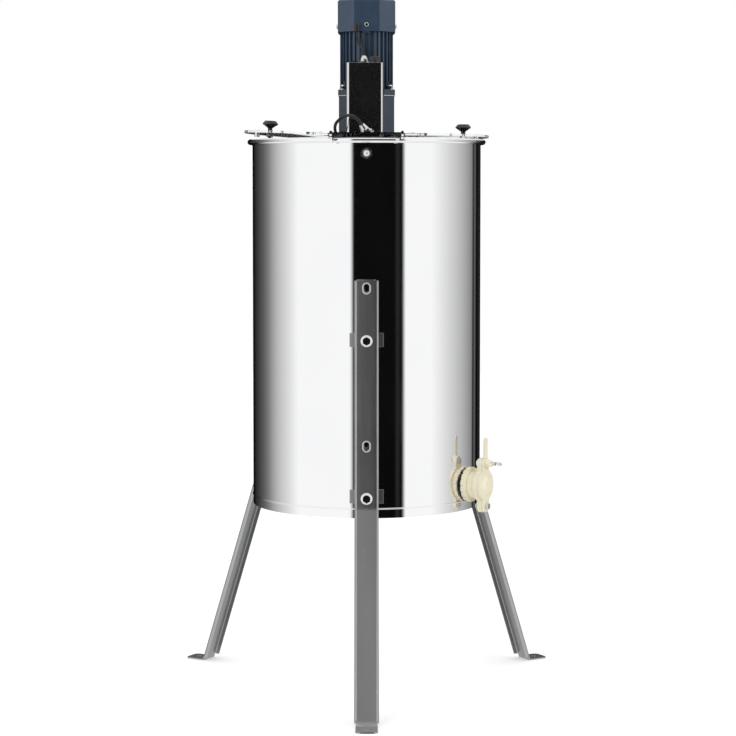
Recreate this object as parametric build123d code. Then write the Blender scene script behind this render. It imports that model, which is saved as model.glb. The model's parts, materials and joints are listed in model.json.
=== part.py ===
from build123d import *
import math
import os

# An electric honey extractor, in millimetres: a drum on three legs, a bridge across its rim with a
# vertical gear motor and a control box, two clear lids, a basket for comb frames and a honey gate.
# The origin is on the floor under the drum's axis. +Z is up, the front is -Y and +X is right.

# ---------------------------------------------------------------- driving dimensions
DRUM_RADIUS = 190.0
DRUM_WALL = 0.8
DRUM_LOW = 304.0            # lower edge of the skirt
DRUM_TOP = 910.0            # top of the rolled rim
BEAD_RADIUS = 4.5           # rolled rim
SEAM_Z = 319.0              # rolled ring near the bottom
SEAM_RADIUS = 1.2
BOTTOM_SHEET = 1.0
BOTTOM_EDGE_Z = 320.0
BOTTOM_RISE = 26.0          # the bottom slopes down towards the wall and the gate
BOTTOM_FLANGE = 15.0
CUP_RADIUS = 22.0
CUP_HEIGHT = 20.0
RUNNING_GAP = 0.05          # radial clearance of every running fit

LEG_WIDTH = 38.0
LEG_DEPTH = 9.0
LEG_SHEET = 2.0
LEG_BEND = 4.0              # outer radius of the channel's two bends
LEG_STANDOFF = 25.0         # from the drum's wall to the leg's outer face
LEG_TOP = 684.0
KNEE_Z = 325.0
KNEE_RADIUS = 30.0
LEG_SPLAY = 18.5            # degrees outward below the knee
LEG_AZIMUTHS = {"leg_front": -90.0, "leg_right": 30.0, "leg_left": 150.0}
FOOT_REACH = 36.0           # length of the foot tab
FOOT_WIDTH = 34.0
FOOT_CORNER = 8.0
FOOT_HOLE = 4.5
FOOT_HOLE_INSET = 17.0
SLOT_WIDTH = 9.0
SLOT_LENGTH = 14.0
SLOT_STEP = 83.0            # from a bolted slot to the slot above it
BRACKET_HEIGHTS = (339.0, 589.0)
BRACKET_WIDTH = 54.0
BRACKET_TALL = 22.0
BRACKET_FACE = 30.0
BRACKET_SHEET = 2.0

BOLT_RADIUS = 4.0           # the frame's M8 bolts
BOLT_HOLE = 4.3
BOLT_FLANGE = 8.5
BOLT_HEAD = 6.8
BOLT_LENGTH = 20.0
NUT_HEIGHT = 6.5

BRIDGE_HALF = 54.0          # inverted channel across the rim, from front to back
BRIDGE_SHEET = 2.0
BRIDGE_BEND = 3.0
BRIDGE_LIFT = 7.5           # from the rim's top to the web's top face
BRIDGE_FLANGE = 27.5        # depth of the side flanges inside the drum
BRIDGE_LENGTH = 400.0
HOOK_REACH = 205.0          # the side flanges end in hooks over the rim
HOOK_DEPTH = 17.0
HOOK_CLEARANCE = 1.2
TAB_WIDTH = 40.0
TAB_LOW = 875.0
TAB_BOLT_Z = 884.5
TAB_FACE = 188.0
SHAFT_HOLE = 10.0           # through the web

GEARBOX_WIDTH = 91.5
GEARBOX_CORNER = 18.0
GEARBOX_TALL = 65.0
GEARBOX_CAVITY = 40.0
GEARBOX_FLOOR = 7.5
COVER_WIDTH = 94.0          # flange between the gearbox and the motor
COVER_TALL = 9.2
COVER_BOLT = (38.5, 26.0)
COVER_BOLT_RADIUS = 2.5
COVER_BOLT_HEAD = 5.6
FOOT_SCREW = (34.0, 28.0)   # the gearbox's screws up through the bridge
FOOT_SCREW_RADIUS = 3.0
MODULE = 1.0
PRESSURE_ANGLE = 25.0
PINION_TEETH = 12
GEAR_TEETH = 28
TOOTH_THINNING = 0.08
GEAR_WIDTH = 10.0
PINION_WIDTH = 12.0
LAYSHAFT_RADIUS = 4.0
OUTPUT_RADIUS = 6.0
BUSH_WALL = 3.0

MOTOR_RADIUS = 40.0         # core of the finned housing
MOTOR_BORE = 36.5
MOTOR_TALL = 95.0
FIN_DEPTH = 4.0
FIN_WIDTH = 2.4
FIN_COUNT = 32
END_PLATE = 6.7
ROTOR_SHAFT_RADIUS = 5.0
ROTOR_RADIUS = 21.6
AIR_GAP = 0.4
STATOR = (13.3, 73.3)       # above the motor housing's foot
BEARING_RADIUS = 13.0
FAN_RADIUS = 37.5
COWL_WIDTH = 95.0
COWL_CORNER = 26.0
COWL_TALL = 50.5
COWL_DOME = 10.0
COWL_SHEET = 2.0
COWL_SCREW_Z = 10.5         # above the cowl's lower edge
LUG_WIDTH = 12.0

BOX_SIZE = (60.0, 46.0, 115.0)
BOX_X = -3.0
BOX_BACK = -50.0            # y of the control box's back face
BOX_SHEET = 1.5
BOX_CORNER = 5.0
SWITCH_AT = (-20.0, -77.0)
SWITCH_SIZE = (15.0, 21.0)
KNOB_AT = (13.0, -77.0)
KNOB_RADIUS = 8.0
KNOB_TALL = 11.0
TOP_GLAND_AT = (-4.0, -62.0)
TOP_GLAND_TALL = 13.0

LID_RADIUS = 203.0
LID_EDGE = 61.0             # x of a lid's straight edge
LID_SHEET = 4.0
LID_LIFT = 2.5              # from the rim's top to the lid's underside
LID_AJAR = 3.3              # the left lid rests this many degrees open
HINGE_X = 57.5
HINGE_RISE = 2.5            # the hinge's axis above a lid's upper face
HINGE_AT = 110.0
HINGE_LENGTH = 50.0
KNUCKLE_RADIUS = 2.5
HINGE_PIN = 1.2
LEAF_SHEET = 1.2
LEAF_REACH = 22.0
KNOB_X = 161.0
STOP_X = 182.0
STOP_FOOT = 5.0             # the stop's rubber foot, below the lid
LEAF_SCREW_IN = 13.0        # from a lid's straight edge
LEAF_SCREW_STEP = 14.0      # to either side of the hinge's middle
LEAF_SCREW_RADIUS = 1.5

GATE_AZIMUTH = -30.0        # from +X, to the right of the front
GATE_Z = 346.0
NECK_RADIUS = 18.0
NECK_BORE = 15.5
INNER_NUT_RADIUS = 24.0
OUTLET_BORE = 19.0
OUTLET_RADIUS = 22.0
GASKET_RADIUS = 25.5
GATE_NUT_RADIUS = 28.5
GATE_PLATE_RADIUS = 26.5
GATE_FACE = 31.0            # from the drum's wall to the outlet's face
OUTLET_LENGTH = 18.0
PIVOT_BELOW = 34.0
CLAMP_ABOVE = 36.0
GATE_BOLT_RADIUS = 3.0
SHUTTER_SHEET = 4.7
HANDLE_TOP = 78.0

BASKET_HALF = 122.0         # plane of the outer grids
CORE_HALF = 80.0            # plane of the inner grids
BASKET_LOW = 384.0
BASKET_TOP = 862.0
POST_RADIUS = 4.0
RAIL = 6.0
WIRE_RADIUS = 1.5
CROSS_WIRE_RADIUS = 1.3
WIRE_PITCH = 24.0
CROSS_WIRES = 7
SHAFT_RADIUS = 8.0
SHAFT_LOW_GAP = 0.3
HUB_RADIUS = 16.0
COUPLING_RADIUS = 12.0
COUPLING = (875.0, 911.0)
SHAFT_JOINT_Z = 893.0

CORD_DIAMETER = 5.0
LEAD_DIAMETER = 4.2
COIL_CENTRE = (0.0, 106.0)
COIL_MEAN_RADIUS = 30.0
COIL_ROWS = 3
COIL_LAYERS = 2
TIE_SHEET = 0.8
FAR = 300.0                 # past the edge of anything that is cut

# ---------------------------------------------------------------- worked-out places
WALL_INNER = DRUM_RADIUS - DRUM_WALL
BEAD_CENTRE = (WALL_INNER + BEAD_RADIUS, DRUM_TOP - BEAD_RADIUS)
BEAD_OUTER = BEAD_CENTRE[0] + BEAD_RADIUS
WEB_TOP = DRUM_TOP + BRIDGE_LIFT
WEB_LOW = WEB_TOP - BRIDGE_SHEET
FLANGE_LOW = WEB_TOP - BRIDGE_FLANGE
BOTTOM_MIDDLE_Z = BOTTOM_EDGE_Z + BOTTOM_RISE
CUP_TOP = BOTTOM_MIDDLE_Z + CUP_HEIGHT
SHAFT_LOW = BOTTOM_MIDDLE_Z + 6.0
LEG_FACE = DRUM_RADIUS + LEG_STANDOFF
GEARBOX_TOP = WEB_TOP + GEARBOX_TALL
COVER_TOP = GEARBOX_TOP + COVER_TALL
MOTOR_TOP = COVER_TOP + MOTOR_TALL
COWL_EDGE_TOP = MOTOR_TOP + COWL_TALL
COWL_TOP = COWL_EDGE_TOP + COWL_DOME
COWL_FRONT = -COWL_WIDTH / 2
CENTRE_DISTANCE = MODULE * (PINION_TEETH + GEAR_TEETH) / 2
OUTPUT_GEAR_Z = WEB_TOP + 20.5
MOTOR_PINION_Z = OUTPUT_GEAR_Z + 20.0
ROTOR_SHAFT_TOP = COWL_EDGE_TOP - 12.0
BOX_TOP = WEB_TOP + BOX_SIZE[2]
BOX_FRONT = BOX_BACK - BOX_SIZE[1]
BOX_SCREWS = (BOX_X - 17.0, BOX_X + 20.0)
BOX_MIDDLE_Y = (BOX_BACK + BOX_FRONT) / 2
LID_LOW = DRUM_TOP + LID_LIFT
LID_TOP = LID_LOW + LID_SHEET
HINGE_Z = LID_TOP + HINGE_RISE
OUTLET_FACE = DRUM_RADIUS + GATE_FACE
RAIL_HALF = RAIL / 2
CORD_RADIUS = CORD_DIAMETER / 2
COIL_HALF = COIL_ROWS * CORD_RADIUS
COIL_LOW = WEB_TOP + TIE_SHEET + 0.1
COIL_TALL = COIL_LAYERS * CORD_DIAMETER
COIL_OUTER_TURN = COIL_MEAN_RADIUS + COIL_HALF - CORD_RADIUS
STUB_START = COIL_CENTRE[1] - 22.0
STUB_END = COIL_CENTRE[1] + 22.0
COIL_FIRST_Z = COIL_LOW + CORD_RADIUS
COIL_LAST_Z = COIL_LOW + COIL_TALL - CORD_RADIUS

# The power cord's route, from its gland on the bridge to the coil behind the motor.
CORD_ROUTE = [
    (-8.0, -140.0, 931.0),
    (-15.5, -143.0, 942.8),
    (-29.5, -141.2, 947.0),
    (-42.0, -133.5, 941.0),
    (-49.5, -120.0, 934.0),
    (-51.3, -103.0, 928.0),
    (-51.2, -83.0, 923.0),
    (-50.6, -57.0, 920.4),
    (-50.0, -26.0, 920.1),
    (-51.0, 8.0, 920.1),
    (-50.3, 32.0, 920.1),
    (-45.0, 50.0, 920.4),
    (-COIL_OUTER_TURN, STUB_START - 17.0, COIL_FIRST_Z),
    (-COIL_OUTER_TURN, STUB_START, COIL_FIRST_Z),
]
# The motor's lead, from the cowl's lower edge into the gland on the control box.
LEAD_ROUTE = [
    (-16.0, -52.5, 1086.0),
    (-15.2, -53.6, 1071.0),
    (-8.0, -60.4, 1058.0),
    (-4.0, -62.0, BOX_TOP + TOP_GLAND_TALL),
]

UPRIGHT = (Align.CENTER, Align.CENTER, Align.MIN)


# ---------------------------------------------------------------- shapes used more than once
def rod(radius, low, high, x=0.0, y=0.0):
    """An upright cylinder between two heights."""
    return Pos(x, y, low) * Cylinder(radius, high - low, align=UPRIGHT)


def ring(outer, inner, low, high, x=0.0, y=0.0):
    """An upright tube between two heights."""
    return rod(outer, low, high, x, y) - rod(inner, low, high, x, y)


def bar(x, y, z):
    """A block from the lower to the higher of each pair."""
    spans = [(min(pair), max(pair)) for pair in (x, y, z)]
    middle = [(low + high) / 2 for low, high in spans]
    return Pos(*middle) * Box(*[high - low for low, high in spans])


def beam(start, end, radius):
    """A round bar between two points."""
    start, end = Vector(*start), Vector(*end)
    return Plane(origin=start, z_dir=end - start) * Cylinder(radius, (end - start).length, align=UPRIGHT)


def octagon(width, corner, low, high, taper=0.0):
    """An upright block with four cut corners."""
    outline = chamfer(Rectangle(width, width).vertices(), corner)
    return extrude(Pos(0, 0, low) * outline, high - low, taper=taper)


def spun(points):
    """A solid turned about Z from its (radius, height) outline."""
    outline = Polyline(*[(radius, 0, height) for radius, height in points], close=True)
    return revolve(make_face(outline), Axis.Z)


def six_sided(radius, low, high, x=0.0, y=0.0):
    return extrude(Pos(x, y, low) * RegularPolygon(radius, 6), high - low)


def bolt(radius, length, head, head_tall, flange=0.0, flange_tall=1.6, six=True):
    """A bolt that hangs from Z = 0, with its head above."""
    top = six_sided(head, 0, head_tall) if six else rod(head, 0, head_tall)
    body = top + rod(radius, -length, 0)
    if flange:
        body += rod(flange, 0, flange_tall)
    return body


def nut(radius, hole, tall):
    return six_sided(radius, 0, tall) - rod(hole, 0, tall)


def turned(azimuth, piece):
    """The piece, turned about the drum's axis from +X to an azimuth."""
    return Rot(0, 0, azimuth) * piece


def facing(point, direction, piece):
    """The piece with its +Z along a direction from a point."""
    return Plane(origin=point, z_dir=direction) * piece


def together(pieces):
    """Pieces that meet, as one solid."""
    pieces = list(pieces)
    return pieces[0].fuse(*pieces[1:]).clean()


def group(pieces):
    """Separate solids of one node."""
    return Compound(children=[solid for piece in pieces for solid in piece.solids()])


# ---------------------------------------------------------------- drum
def drum_wall():
    middle, height = BEAD_CENTRE
    drop = math.sqrt(BEAD_RADIUS**2 - (middle - DRUM_RADIUS) ** 2)
    lines = [
        Line((WALL_INNER, 0, DRUM_LOW), (DRUM_RADIUS, 0, DRUM_LOW)),
        Line((DRUM_RADIUS, 0, DRUM_LOW), (DRUM_RADIUS, 0, SEAM_Z - SEAM_RADIUS)),
        ThreePointArc(
            (DRUM_RADIUS, 0, SEAM_Z - SEAM_RADIUS),
            (DRUM_RADIUS + SEAM_RADIUS, 0, SEAM_Z),
            (DRUM_RADIUS, 0, SEAM_Z + SEAM_RADIUS),
        ),
        Line((DRUM_RADIUS, 0, SEAM_Z + SEAM_RADIUS), (DRUM_RADIUS, 0, height - drop)),
        ThreePointArc((DRUM_RADIUS, 0, height - drop), (BEAD_OUTER, 0, height), (WALL_INNER, 0, height)),
        Line((WALL_INNER, 0, height), (WALL_INNER, 0, DRUM_LOW)),
    ]
    wall = revolve(make_face(lines), Axis.Z)
    inside, outside = DRUM_RADIUS - 10, DRUM_RADIUS + 10
    wall -= turned(GATE_AZIMUTH, beam((inside, 0, GATE_Z), (outside, 0, GATE_Z), NECK_RADIUS + 0.3))
    for side in (-1, 1):
        wall -= beam((0, side * inside, TAB_BOLT_Z), (0, side * outside, TAB_BOLT_Z), BOLT_HOLE)
    return wall


def drum_bottom():
    edge, middle = WALL_INNER, CUP_RADIUS
    return spun([
        (0, BOTTOM_MIDDLE_Z),
        (middle, BOTTOM_MIDDLE_Z),
        (edge, BOTTOM_EDGE_Z),
        (edge, BOTTOM_EDGE_Z - BOTTOM_FLANGE),
        (edge - BOTTOM_SHEET, BOTTOM_EDGE_Z - BOTTOM_FLANGE),
        (edge - BOTTOM_SHEET, BOTTOM_EDGE_Z - BOTTOM_SHEET),
        (middle, BOTTOM_MIDDLE_Z - BOTTOM_SHEET),
        (0, BOTTOM_MIDDLE_Z - BOTTOM_SHEET),
    ])


def bottom_bearing_cup():
    low = BOTTOM_MIDDLE_Z
    cup = rod(CUP_RADIUS, low, CUP_TOP)
    cup = chamfer(cup.edges().group_by(Axis.Z)[-1], 3.0)
    return cup - rod(SHAFT_RADIUS + RUNNING_GAP, SHAFT_LOW - SHAFT_LOW_GAP, CUP_TOP)


# ---------------------------------------------------------------- legs
def splayed(height, depth=0.0):
    """Distance from the axis to the splayed part of a leg, at a depth behind its outer face."""
    slope = math.radians(LEG_SPLAY)
    return LEG_FACE + (KNEE_Z - height) * math.tan(slope) - depth / math.cos(slope)


def leg():
    """One leg, pointing along +X: a channel that opens towards the drum, with a foot tab."""
    foot_tip = splayed(LEG_SHEET) + FOOT_REACH
    path = FilletPolyline(
        (LEG_FACE, 0, LEG_TOP), (LEG_FACE, 0, KNEE_Z), (splayed(0), 0, 0), radius=KNEE_RADIUS
    )
    outer = Pos(LEG_DEPTH / 2, 0) * Rectangle(LEG_DEPTH, LEG_WIDTH)
    outer = fillet(outer.vertices().group_by(Axis.X)[0], LEG_BEND)
    inner = Pos(LEG_SHEET + LEG_DEPTH / 2, 0) * Rectangle(LEG_DEPTH, LEG_WIDTH - 2 * LEG_SHEET)
    inner = fillet(inner.vertices().group_by(Axis.X)[0], LEG_BEND - LEG_SHEET)
    start = Plane(origin=(LEG_FACE, 0, LEG_TOP), x_dir=(-1, 0, 0), z_dir=(0, 0, -1))
    channel = sweep(start * (outer - inner), path=path)
    channel &= bar((0, 2 * LEG_FACE), (-LEG_WIDTH, LEG_WIDTH), (3 * LEG_SHEET, LEG_TOP))
    tab = make_face(Polyline(
        (splayed(5 * LEG_SHEET), 0, 5 * LEG_SHEET),
        (splayed(LEG_SHEET), 0, LEG_SHEET),
        (foot_tip, 0, LEG_SHEET),
        (foot_tip, 0, 0),
        (splayed(0, LEG_SHEET), 0, 0),
        (splayed(5 * LEG_SHEET, LEG_SHEET), 0, 5 * LEG_SHEET),
        close=True,
    ))
    tab = extrude(tab, FOOT_WIDTH / 2, both=True)
    tab = fillet(tab.edges().filter_by(Axis.Z).group_by(Axis.X)[-1], FOOT_CORNER)
    hole_x = foot_tip - FOOT_HOLE_INSET
    tab -= rod(FOOT_HOLE, -1, LEG_SHEET + 1, hole_x)
    whole = channel + tab
    for height in BRACKET_HEIGHTS:
        for z in (height, height + SLOT_STEP):
            slot = SlotOverall(SLOT_LENGTH, SLOT_WIDTH, rotation=90)
            slot = extrude(Plane(origin=(LEG_FACE + 5, 0, z), x_dir=(0, 1, 0), z_dir=(-1, 0, 0)) * slot, 15)
            whole -= slot
    return whole


def leg_brackets():
    """Hat brackets welded to the drum, two behind each leg, with a raised face inside the channel."""
    face = LEG_FACE - LEG_SHEET
    half = BRACKET_FACE / 2
    low, high = -BRACKET_TALL / 2, BRACKET_TALL / 2
    hat = bar((DRUM_RADIUS - 12, face), (-half, half), (low, high))
    hat -= bar((0, face - BRACKET_SHEET), (-half + BRACKET_SHEET, half - BRACKET_SHEET), (low, high))
    wings = ring(DRUM_RADIUS + BRACKET_SHEET, DRUM_RADIUS - 12, low, high)
    wings &= bar((0, face), (-BRACKET_WIDTH / 2, BRACKET_WIDTH / 2), (low, high))
    wings -= bar((0, face), (-half + BRACKET_SHEET, half - BRACKET_SHEET), (low, high))
    bracket = (hat + wings) - rod(DRUM_RADIUS, low, high)
    bracket -= beam((face - 5, 0, 0), (face + 5, 0, 0), BOLT_HOLE)
    return group(
        turned(azimuth, Pos(0, 0, z) * bracket)
        for azimuth in LEG_AZIMUTHS.values()
        for z in BRACKET_HEIGHTS
    )


def frame_bolts():
    """The leg bolts and the two domed bolts at the bridge's ends."""
    leg_bolt = bolt(BOLT_RADIUS, BOLT_LENGTH, BOLT_HEAD, 5.5, BOLT_FLANGE)
    pieces = [
        turned(azimuth, facing((LEG_FACE, 0, z), (1, 0, 0), leg_bolt))
        for azimuth in LEG_AZIMUTHS.values()
        for z in BRACKET_HEIGHTS
    ]
    dome = bolt(BOLT_RADIUS, BOLT_LENGTH, BOLT_HEAD, 5.5, BOLT_FLANGE)
    dome += Pos(0, 0, 4.0) * Sphere(5.2) & rod(BOLT_HEAD, 4.0, 12.0)
    for side in (-1, 1):
        seat = (0, side * (DRUM_RADIUS + 0.05), TAB_BOLT_Z)
        pieces.append(facing(seat, (0, side, 0), dome))
    return group(pieces)


def frame_nuts():
    piece = nut(BOLT_HEAD, BOLT_RADIUS, NUT_HEIGHT)
    seat = LEG_FACE - LEG_SHEET - BRACKET_SHEET - NUT_HEIGHT
    pieces = [
        turned(azimuth, facing((seat, 0, z), (1, 0, 0), piece))
        for azimuth in LEG_AZIMUTHS.values()
        for z in BRACKET_HEIGHTS
    ]
    for side in (-1, 1):
        place = (0, side * (TAB_FACE - BRIDGE_SHEET - NUT_HEIGHT), TAB_BOLT_Z)
        pieces.append(facing(place, (0, side, 0), piece))
    return group(pieces)


# ---------------------------------------------------------------- bridge
def bridge():
    """An inverted channel. Its flanges are notched over the rim and end in hooks outside it."""
    outline = Rectangle(2 * BRIDGE_HALF, BRIDGE_FLANGE, align=(Align.CENTER, Align.MAX))
    outline = fillet(outline.vertices().group_by(Axis.Y)[-1], BRIDGE_BEND)
    hollow = Pos(0, -BRIDGE_SHEET) * Rectangle(
        2 * (BRIDGE_HALF - BRIDGE_SHEET), BRIDGE_FLANGE, align=(Align.CENTER, Align.MAX)
    )
    hollow = fillet(hollow.vertices().group_by(Axis.Y)[-1], BRIDGE_BEND - BRIDGE_SHEET)
    section = Plane(origin=(0, HOOK_REACH, WEB_TOP), x_dir=(-1, 0, 0), z_dir=(0, 1, 0)) * (outline - hollow)
    channel = extrude(section, -2 * HOOK_REACH)
    inside = math.sqrt(WALL_INNER**2 - BRIDGE_HALF**2) - HOOK_CLEARANCE
    outside = math.sqrt(BEAD_OUTER**2 - (BRIDGE_HALF - BRIDGE_SHEET) ** 2) + HOOK_CLEARANCE
    for side in (-1, 1):
        over_rim = bar((-FAR, FAR), (side * inside, side * outside), (0, DRUM_TOP + HOOK_CLEARANCE))
        below_hook = bar((-FAR, FAR), (side * outside, side * FAR), (0, WEB_TOP - HOOK_DEPTH))
        past_web = bar(
            (-BRIDGE_HALF + BRIDGE_SHEET, BRIDGE_HALF - BRIDGE_SHEET),
            (side * BRIDGE_LENGTH / 2, side * FAR),
            (0, WEB_TOP + 5),
        )
        channel = channel - over_rim - below_hook - past_web
        corners = [
            edge for edge in channel.edges().filter_by(Axis.X)
            if abs(edge.center().Y - side * HOOK_REACH) < 0.01 and edge.center().Z < WEB_TOP - 10
        ]
        channel = fillet(corners, 5.0)
        tab_y = (side * (TAB_FACE - BRIDGE_SHEET), side * TAB_FACE)
        channel += bar((-TAB_WIDTH / 2, TAB_WIDTH / 2), tab_y, (TAB_LOW, WEB_LOW))
        channel -= beam((0, side * 180, TAB_BOLT_Z), (0, side * 195, TAB_BOLT_Z), BOLT_HOLE)
    channel -= rod(SHAFT_HOLE, 0, WEB_TOP + 1)
    for x in BOX_SCREWS:
        channel -= rod(2.2, 0, WEB_TOP + 1, x, BOX_MIDDLE_Y)
    for x in (-1, 1):
        for y in (-1, 1):
            channel -= rod(FOOT_SCREW_RADIUS + 0.2, 0, WEB_TOP + 1, x * FOOT_SCREW[0], y * FOOT_SCREW[1])
    channel -= rod(4.5, 0, WEB_TOP + 1, *GLAND_BASE)
    return channel


# ---------------------------------------------------------------- gearbox
def flank_angle(radius, base, half):
    """Half the angle of a tooth at a radius, on an involute from the base circle."""
    def involute(angle):
        return math.tan(angle) - angle

    pressure = math.radians(PRESSURE_ANGLE)
    return half + involute(pressure) - involute(math.acos(min(1.0, base / radius)))


def gear(teeth, low, high, x, y, tooth_at):
    """A spur gear with involute flanks and one tooth centred on an angle in degrees."""
    pitch = MODULE * teeth / 2
    base = pitch * math.cos(math.radians(PRESSURE_ANGLE))
    root, tip = pitch - 1.25 * MODULE, pitch + MODULE
    half = math.pi / (2 * teeth) - TOOTH_THINNING / pitch
    start = max(base, root)
    radii = [start + (tip - start) * step / 4 for step in range(5)]

    def at(radius, angle):
        return (radius * math.cos(angle), radius * math.sin(angle))

    tooth = flank_angle(start, base, half)
    tooth_tip = flank_angle(tip, base, half)
    rising = [at(r, -flank_angle(r, base, half)) for r in radii]
    falling = [at(r, flank_angle(r, base, half)) for r in reversed(radii)]
    foot = root - 0.2
    face = make_face([
        Line(at(foot, -tooth), rising[0]),
        Spline(*rising),
        ThreePointArc(at(tip, -tooth_tip), at(tip, 0), at(tip, tooth_tip)),
        Spline(*falling),
        Line(falling[-1], at(foot, tooth)),
        Line(at(foot, tooth), at(foot, -tooth)),
    ])
    body = Circle(root)
    for number in range(teeth):
        body += Rot(0, 0, tooth_at + 360 * number / teeth) * face
    return extrude(Pos(x, y, low) * body, high - low)


def gearbox_housing():
    body = octagon(GEARBOX_WIDTH, GEARBOX_CORNER, WEB_TOP, GEARBOX_TOP)
    body = fillet(body.edges().filter_by(Axis.Z), 2.0)
    body -= rod(GEARBOX_CAVITY, WEB_TOP + GEARBOX_FLOOR, GEARBOX_TOP)
    boss = OUTPUT_RADIUS + RUNNING_GAP + BUSH_WALL
    body += rod(boss + 4, WEB_TOP + GEARBOX_FLOOR, WEB_TOP + GEARBOX_FLOOR + 6)
    body -= rod(boss, WEB_TOP, WEB_TOP + 20)
    lay = LAYSHAFT_RADIUS + RUNNING_GAP + BUSH_WALL
    body -= rod(lay, WEB_TOP + 3.0, WEB_TOP + 20, 0, CENTRE_DISTANCE)
    for x in (-1, 1):
        for y in (-1, 1):
            bolt_at = (x * COVER_BOLT[0], y * COVER_BOLT[1])
            body -= rod(COVER_BOLT_RADIUS, GEARBOX_TOP - 16, GEARBOX_TOP, *bolt_at)
            body -= rod(FOOT_SCREW_RADIUS, WEB_TOP, WEB_TOP + 12, x * FOOT_SCREW[0], y * FOOT_SCREW[1])
    return body


def gearbox_cover():
    plate = octagon(COVER_WIDTH, GEARBOX_CORNER, GEARBOX_TOP, COVER_TOP)
    plate = fillet(plate.edges().filter_by(Axis.Z), 2.0)
    plate -= rod(BEARING_RADIUS, GEARBOX_TOP + 2, COVER_TOP)
    plate -= rod(ROTOR_SHAFT_RADIUS + 1, GEARBOX_TOP, COVER_TOP)
    lay = LAYSHAFT_RADIUS + RUNNING_GAP + BUSH_WALL - 0.8
    plate -= rod(lay, GEARBOX_TOP, GEARBOX_TOP + 5, 0, CENTRE_DISTANCE)
    for x in (-1, 1):
        for y in (-1, 1):
            plate -= rod(COVER_BOLT_RADIUS, GEARBOX_TOP, COVER_TOP, x * COVER_BOLT[0], y * COVER_BOLT[1])
    return plate


def gearbox_bushes():
    """The output shaft's bush and the layshaft's two."""
    lay_low = LAYSHAFT_RADIUS + RUNNING_GAP
    output = OUTPUT_RADIUS + RUNNING_GAP
    return group([
        ring(output + BUSH_WALL, output, WEB_TOP, WEB_TOP + GEARBOX_FLOOR + 6),
        ring(lay_low + BUSH_WALL, lay_low, WEB_TOP + 3.0, WEB_TOP + GEARBOX_FLOOR, 0, CENTRE_DISTANCE),
        ring(lay_low + BUSH_WALL - 0.8, lay_low, GEARBOX_TOP, GEARBOX_TOP + 5, 0, CENTRE_DISTANCE),
    ])


def gearbox_bolts():
    """Four bolts down through the cover, and four screws up through the bridge."""
    top = bolt(COVER_BOLT_RADIUS, COVER_TALL + 14, COVER_BOLT_HEAD, 6.0, COVER_BOLT_HEAD + 0.6, 1.2)
    foot = bolt(FOOT_SCREW_RADIUS, BRIDGE_SHEET + 10, 5.0, 4.0, six=False)
    pieces = []
    for x in (-1, 1):
        for y in (-1, 1):
            pieces.append(Pos(x * COVER_BOLT[0], y * COVER_BOLT[1], COVER_TOP) * top)
            pieces.append(facing((x * FOOT_SCREW[0], y * FOOT_SCREW[1], WEB_LOW), (0, 0, -1), foot))
    return group(pieces)


def layshaft_gears():
    """A shaft with the large gear that the motor turns and the small one that turns the output."""
    shaft = rod(LAYSHAFT_RADIUS, WEB_TOP + 3.2, GEARBOX_TOP + 4.6, 0, CENTRE_DISTANCE)
    large = gear(
        GEAR_TEETH, MOTOR_PINION_Z + 1, MOTOR_PINION_Z + 1 + GEAR_WIDTH, 0, CENTRE_DISTANCE,
        -90 + 180 / GEAR_TEETH,
    )
    small = gear(PINION_TEETH, OUTPUT_GEAR_Z - 1, MOTOR_PINION_Z + 1, 0, CENTRE_DISTANCE, -90)
    return together([shaft, large, small])


def output_gear():
    wheel = gear(
        GEAR_TEETH, OUTPUT_GEAR_Z, OUTPUT_GEAR_Z + GEAR_WIDTH, 0, 0, 90 + 180 / GEAR_TEETH
    )
    return wheel - rod(OUTPUT_RADIUS, OUTPUT_GEAR_Z, OUTPUT_GEAR_Z + GEAR_WIDTH)


# ---------------------------------------------------------------- motor
def motor_housing():
    outline = Circle(MOTOR_RADIUS)
    fin = Pos(MOTOR_RADIUS - 1, 0) * Rectangle(FIN_DEPTH + 1, FIN_WIDTH, align=(Align.MIN, Align.CENTER))
    for number in range(FIN_COUNT):
        outline += Rot(0, 0, 360 * (number + 0.5) / FIN_COUNT) * fin
    body = extrude(Pos(0, 0, COVER_TOP) * outline, MOTOR_TALL)
    for x in (-1, 1):
        for y in (-1, 1):
            body -= rod(6.3, COVER_TOP, COVER_TOP + 14, x * COVER_BOLT[0], y * COVER_BOLT[1])
    lug_top = MOTOR_TOP + COWL_SCREW_Z + 6
    reach, across = COWL_WIDTH / 2 - COWL_SHEET, (-LUG_WIDTH / 2, LUG_WIDTH / 2)
    lug = bar((MOTOR_RADIUS - 1, reach), across, (MOTOR_TOP, lug_top))
    foot = bar((MOTOR_BORE, reach), across, (MOTOR_TOP - 3, MOTOR_TOP))
    hole = beam((MOTOR_RADIUS - 2, 0, lug_top - 6), (COWL_WIDTH / 2, 0, lug_top - 6), 2.0)
    for azimuth in (0, 90, 180, 270):
        body = body + turned(azimuth, (lug - hole)) + turned(azimuth, foot)
    body -= rod(MOTOR_BORE, COVER_TOP, MOTOR_TOP - END_PLATE)
    body -= rod(BEARING_RADIUS, MOTOR_TOP - END_PLATE, MOTOR_TOP)
    return body


def stator():
    low, high = COVER_TOP + STATOR[0], COVER_TOP + STATOR[1]
    core = ring(MOTOR_BORE, ROTOR_RADIUS + AIR_GAP, low, high)
    windings = [
        ring(MOTOR_BORE - 4, ROTOR_RADIUS + AIR_GAP + 2, low - 6, low),
        ring(MOTOR_BORE - 4, ROTOR_RADIUS + AIR_GAP + 2, high, high + 6),
    ]
    return group([core] + windings)


def motor_bearings():
    inner = ROTOR_SHAFT_RADIUS + RUNNING_GAP
    return group([
        ring(BEARING_RADIUS, inner, GEARBOX_TOP + 2, COVER_TOP),
        ring(BEARING_RADIUS, inner, MOTOR_TOP - END_PLATE, MOTOR_TOP),
    ])


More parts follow.
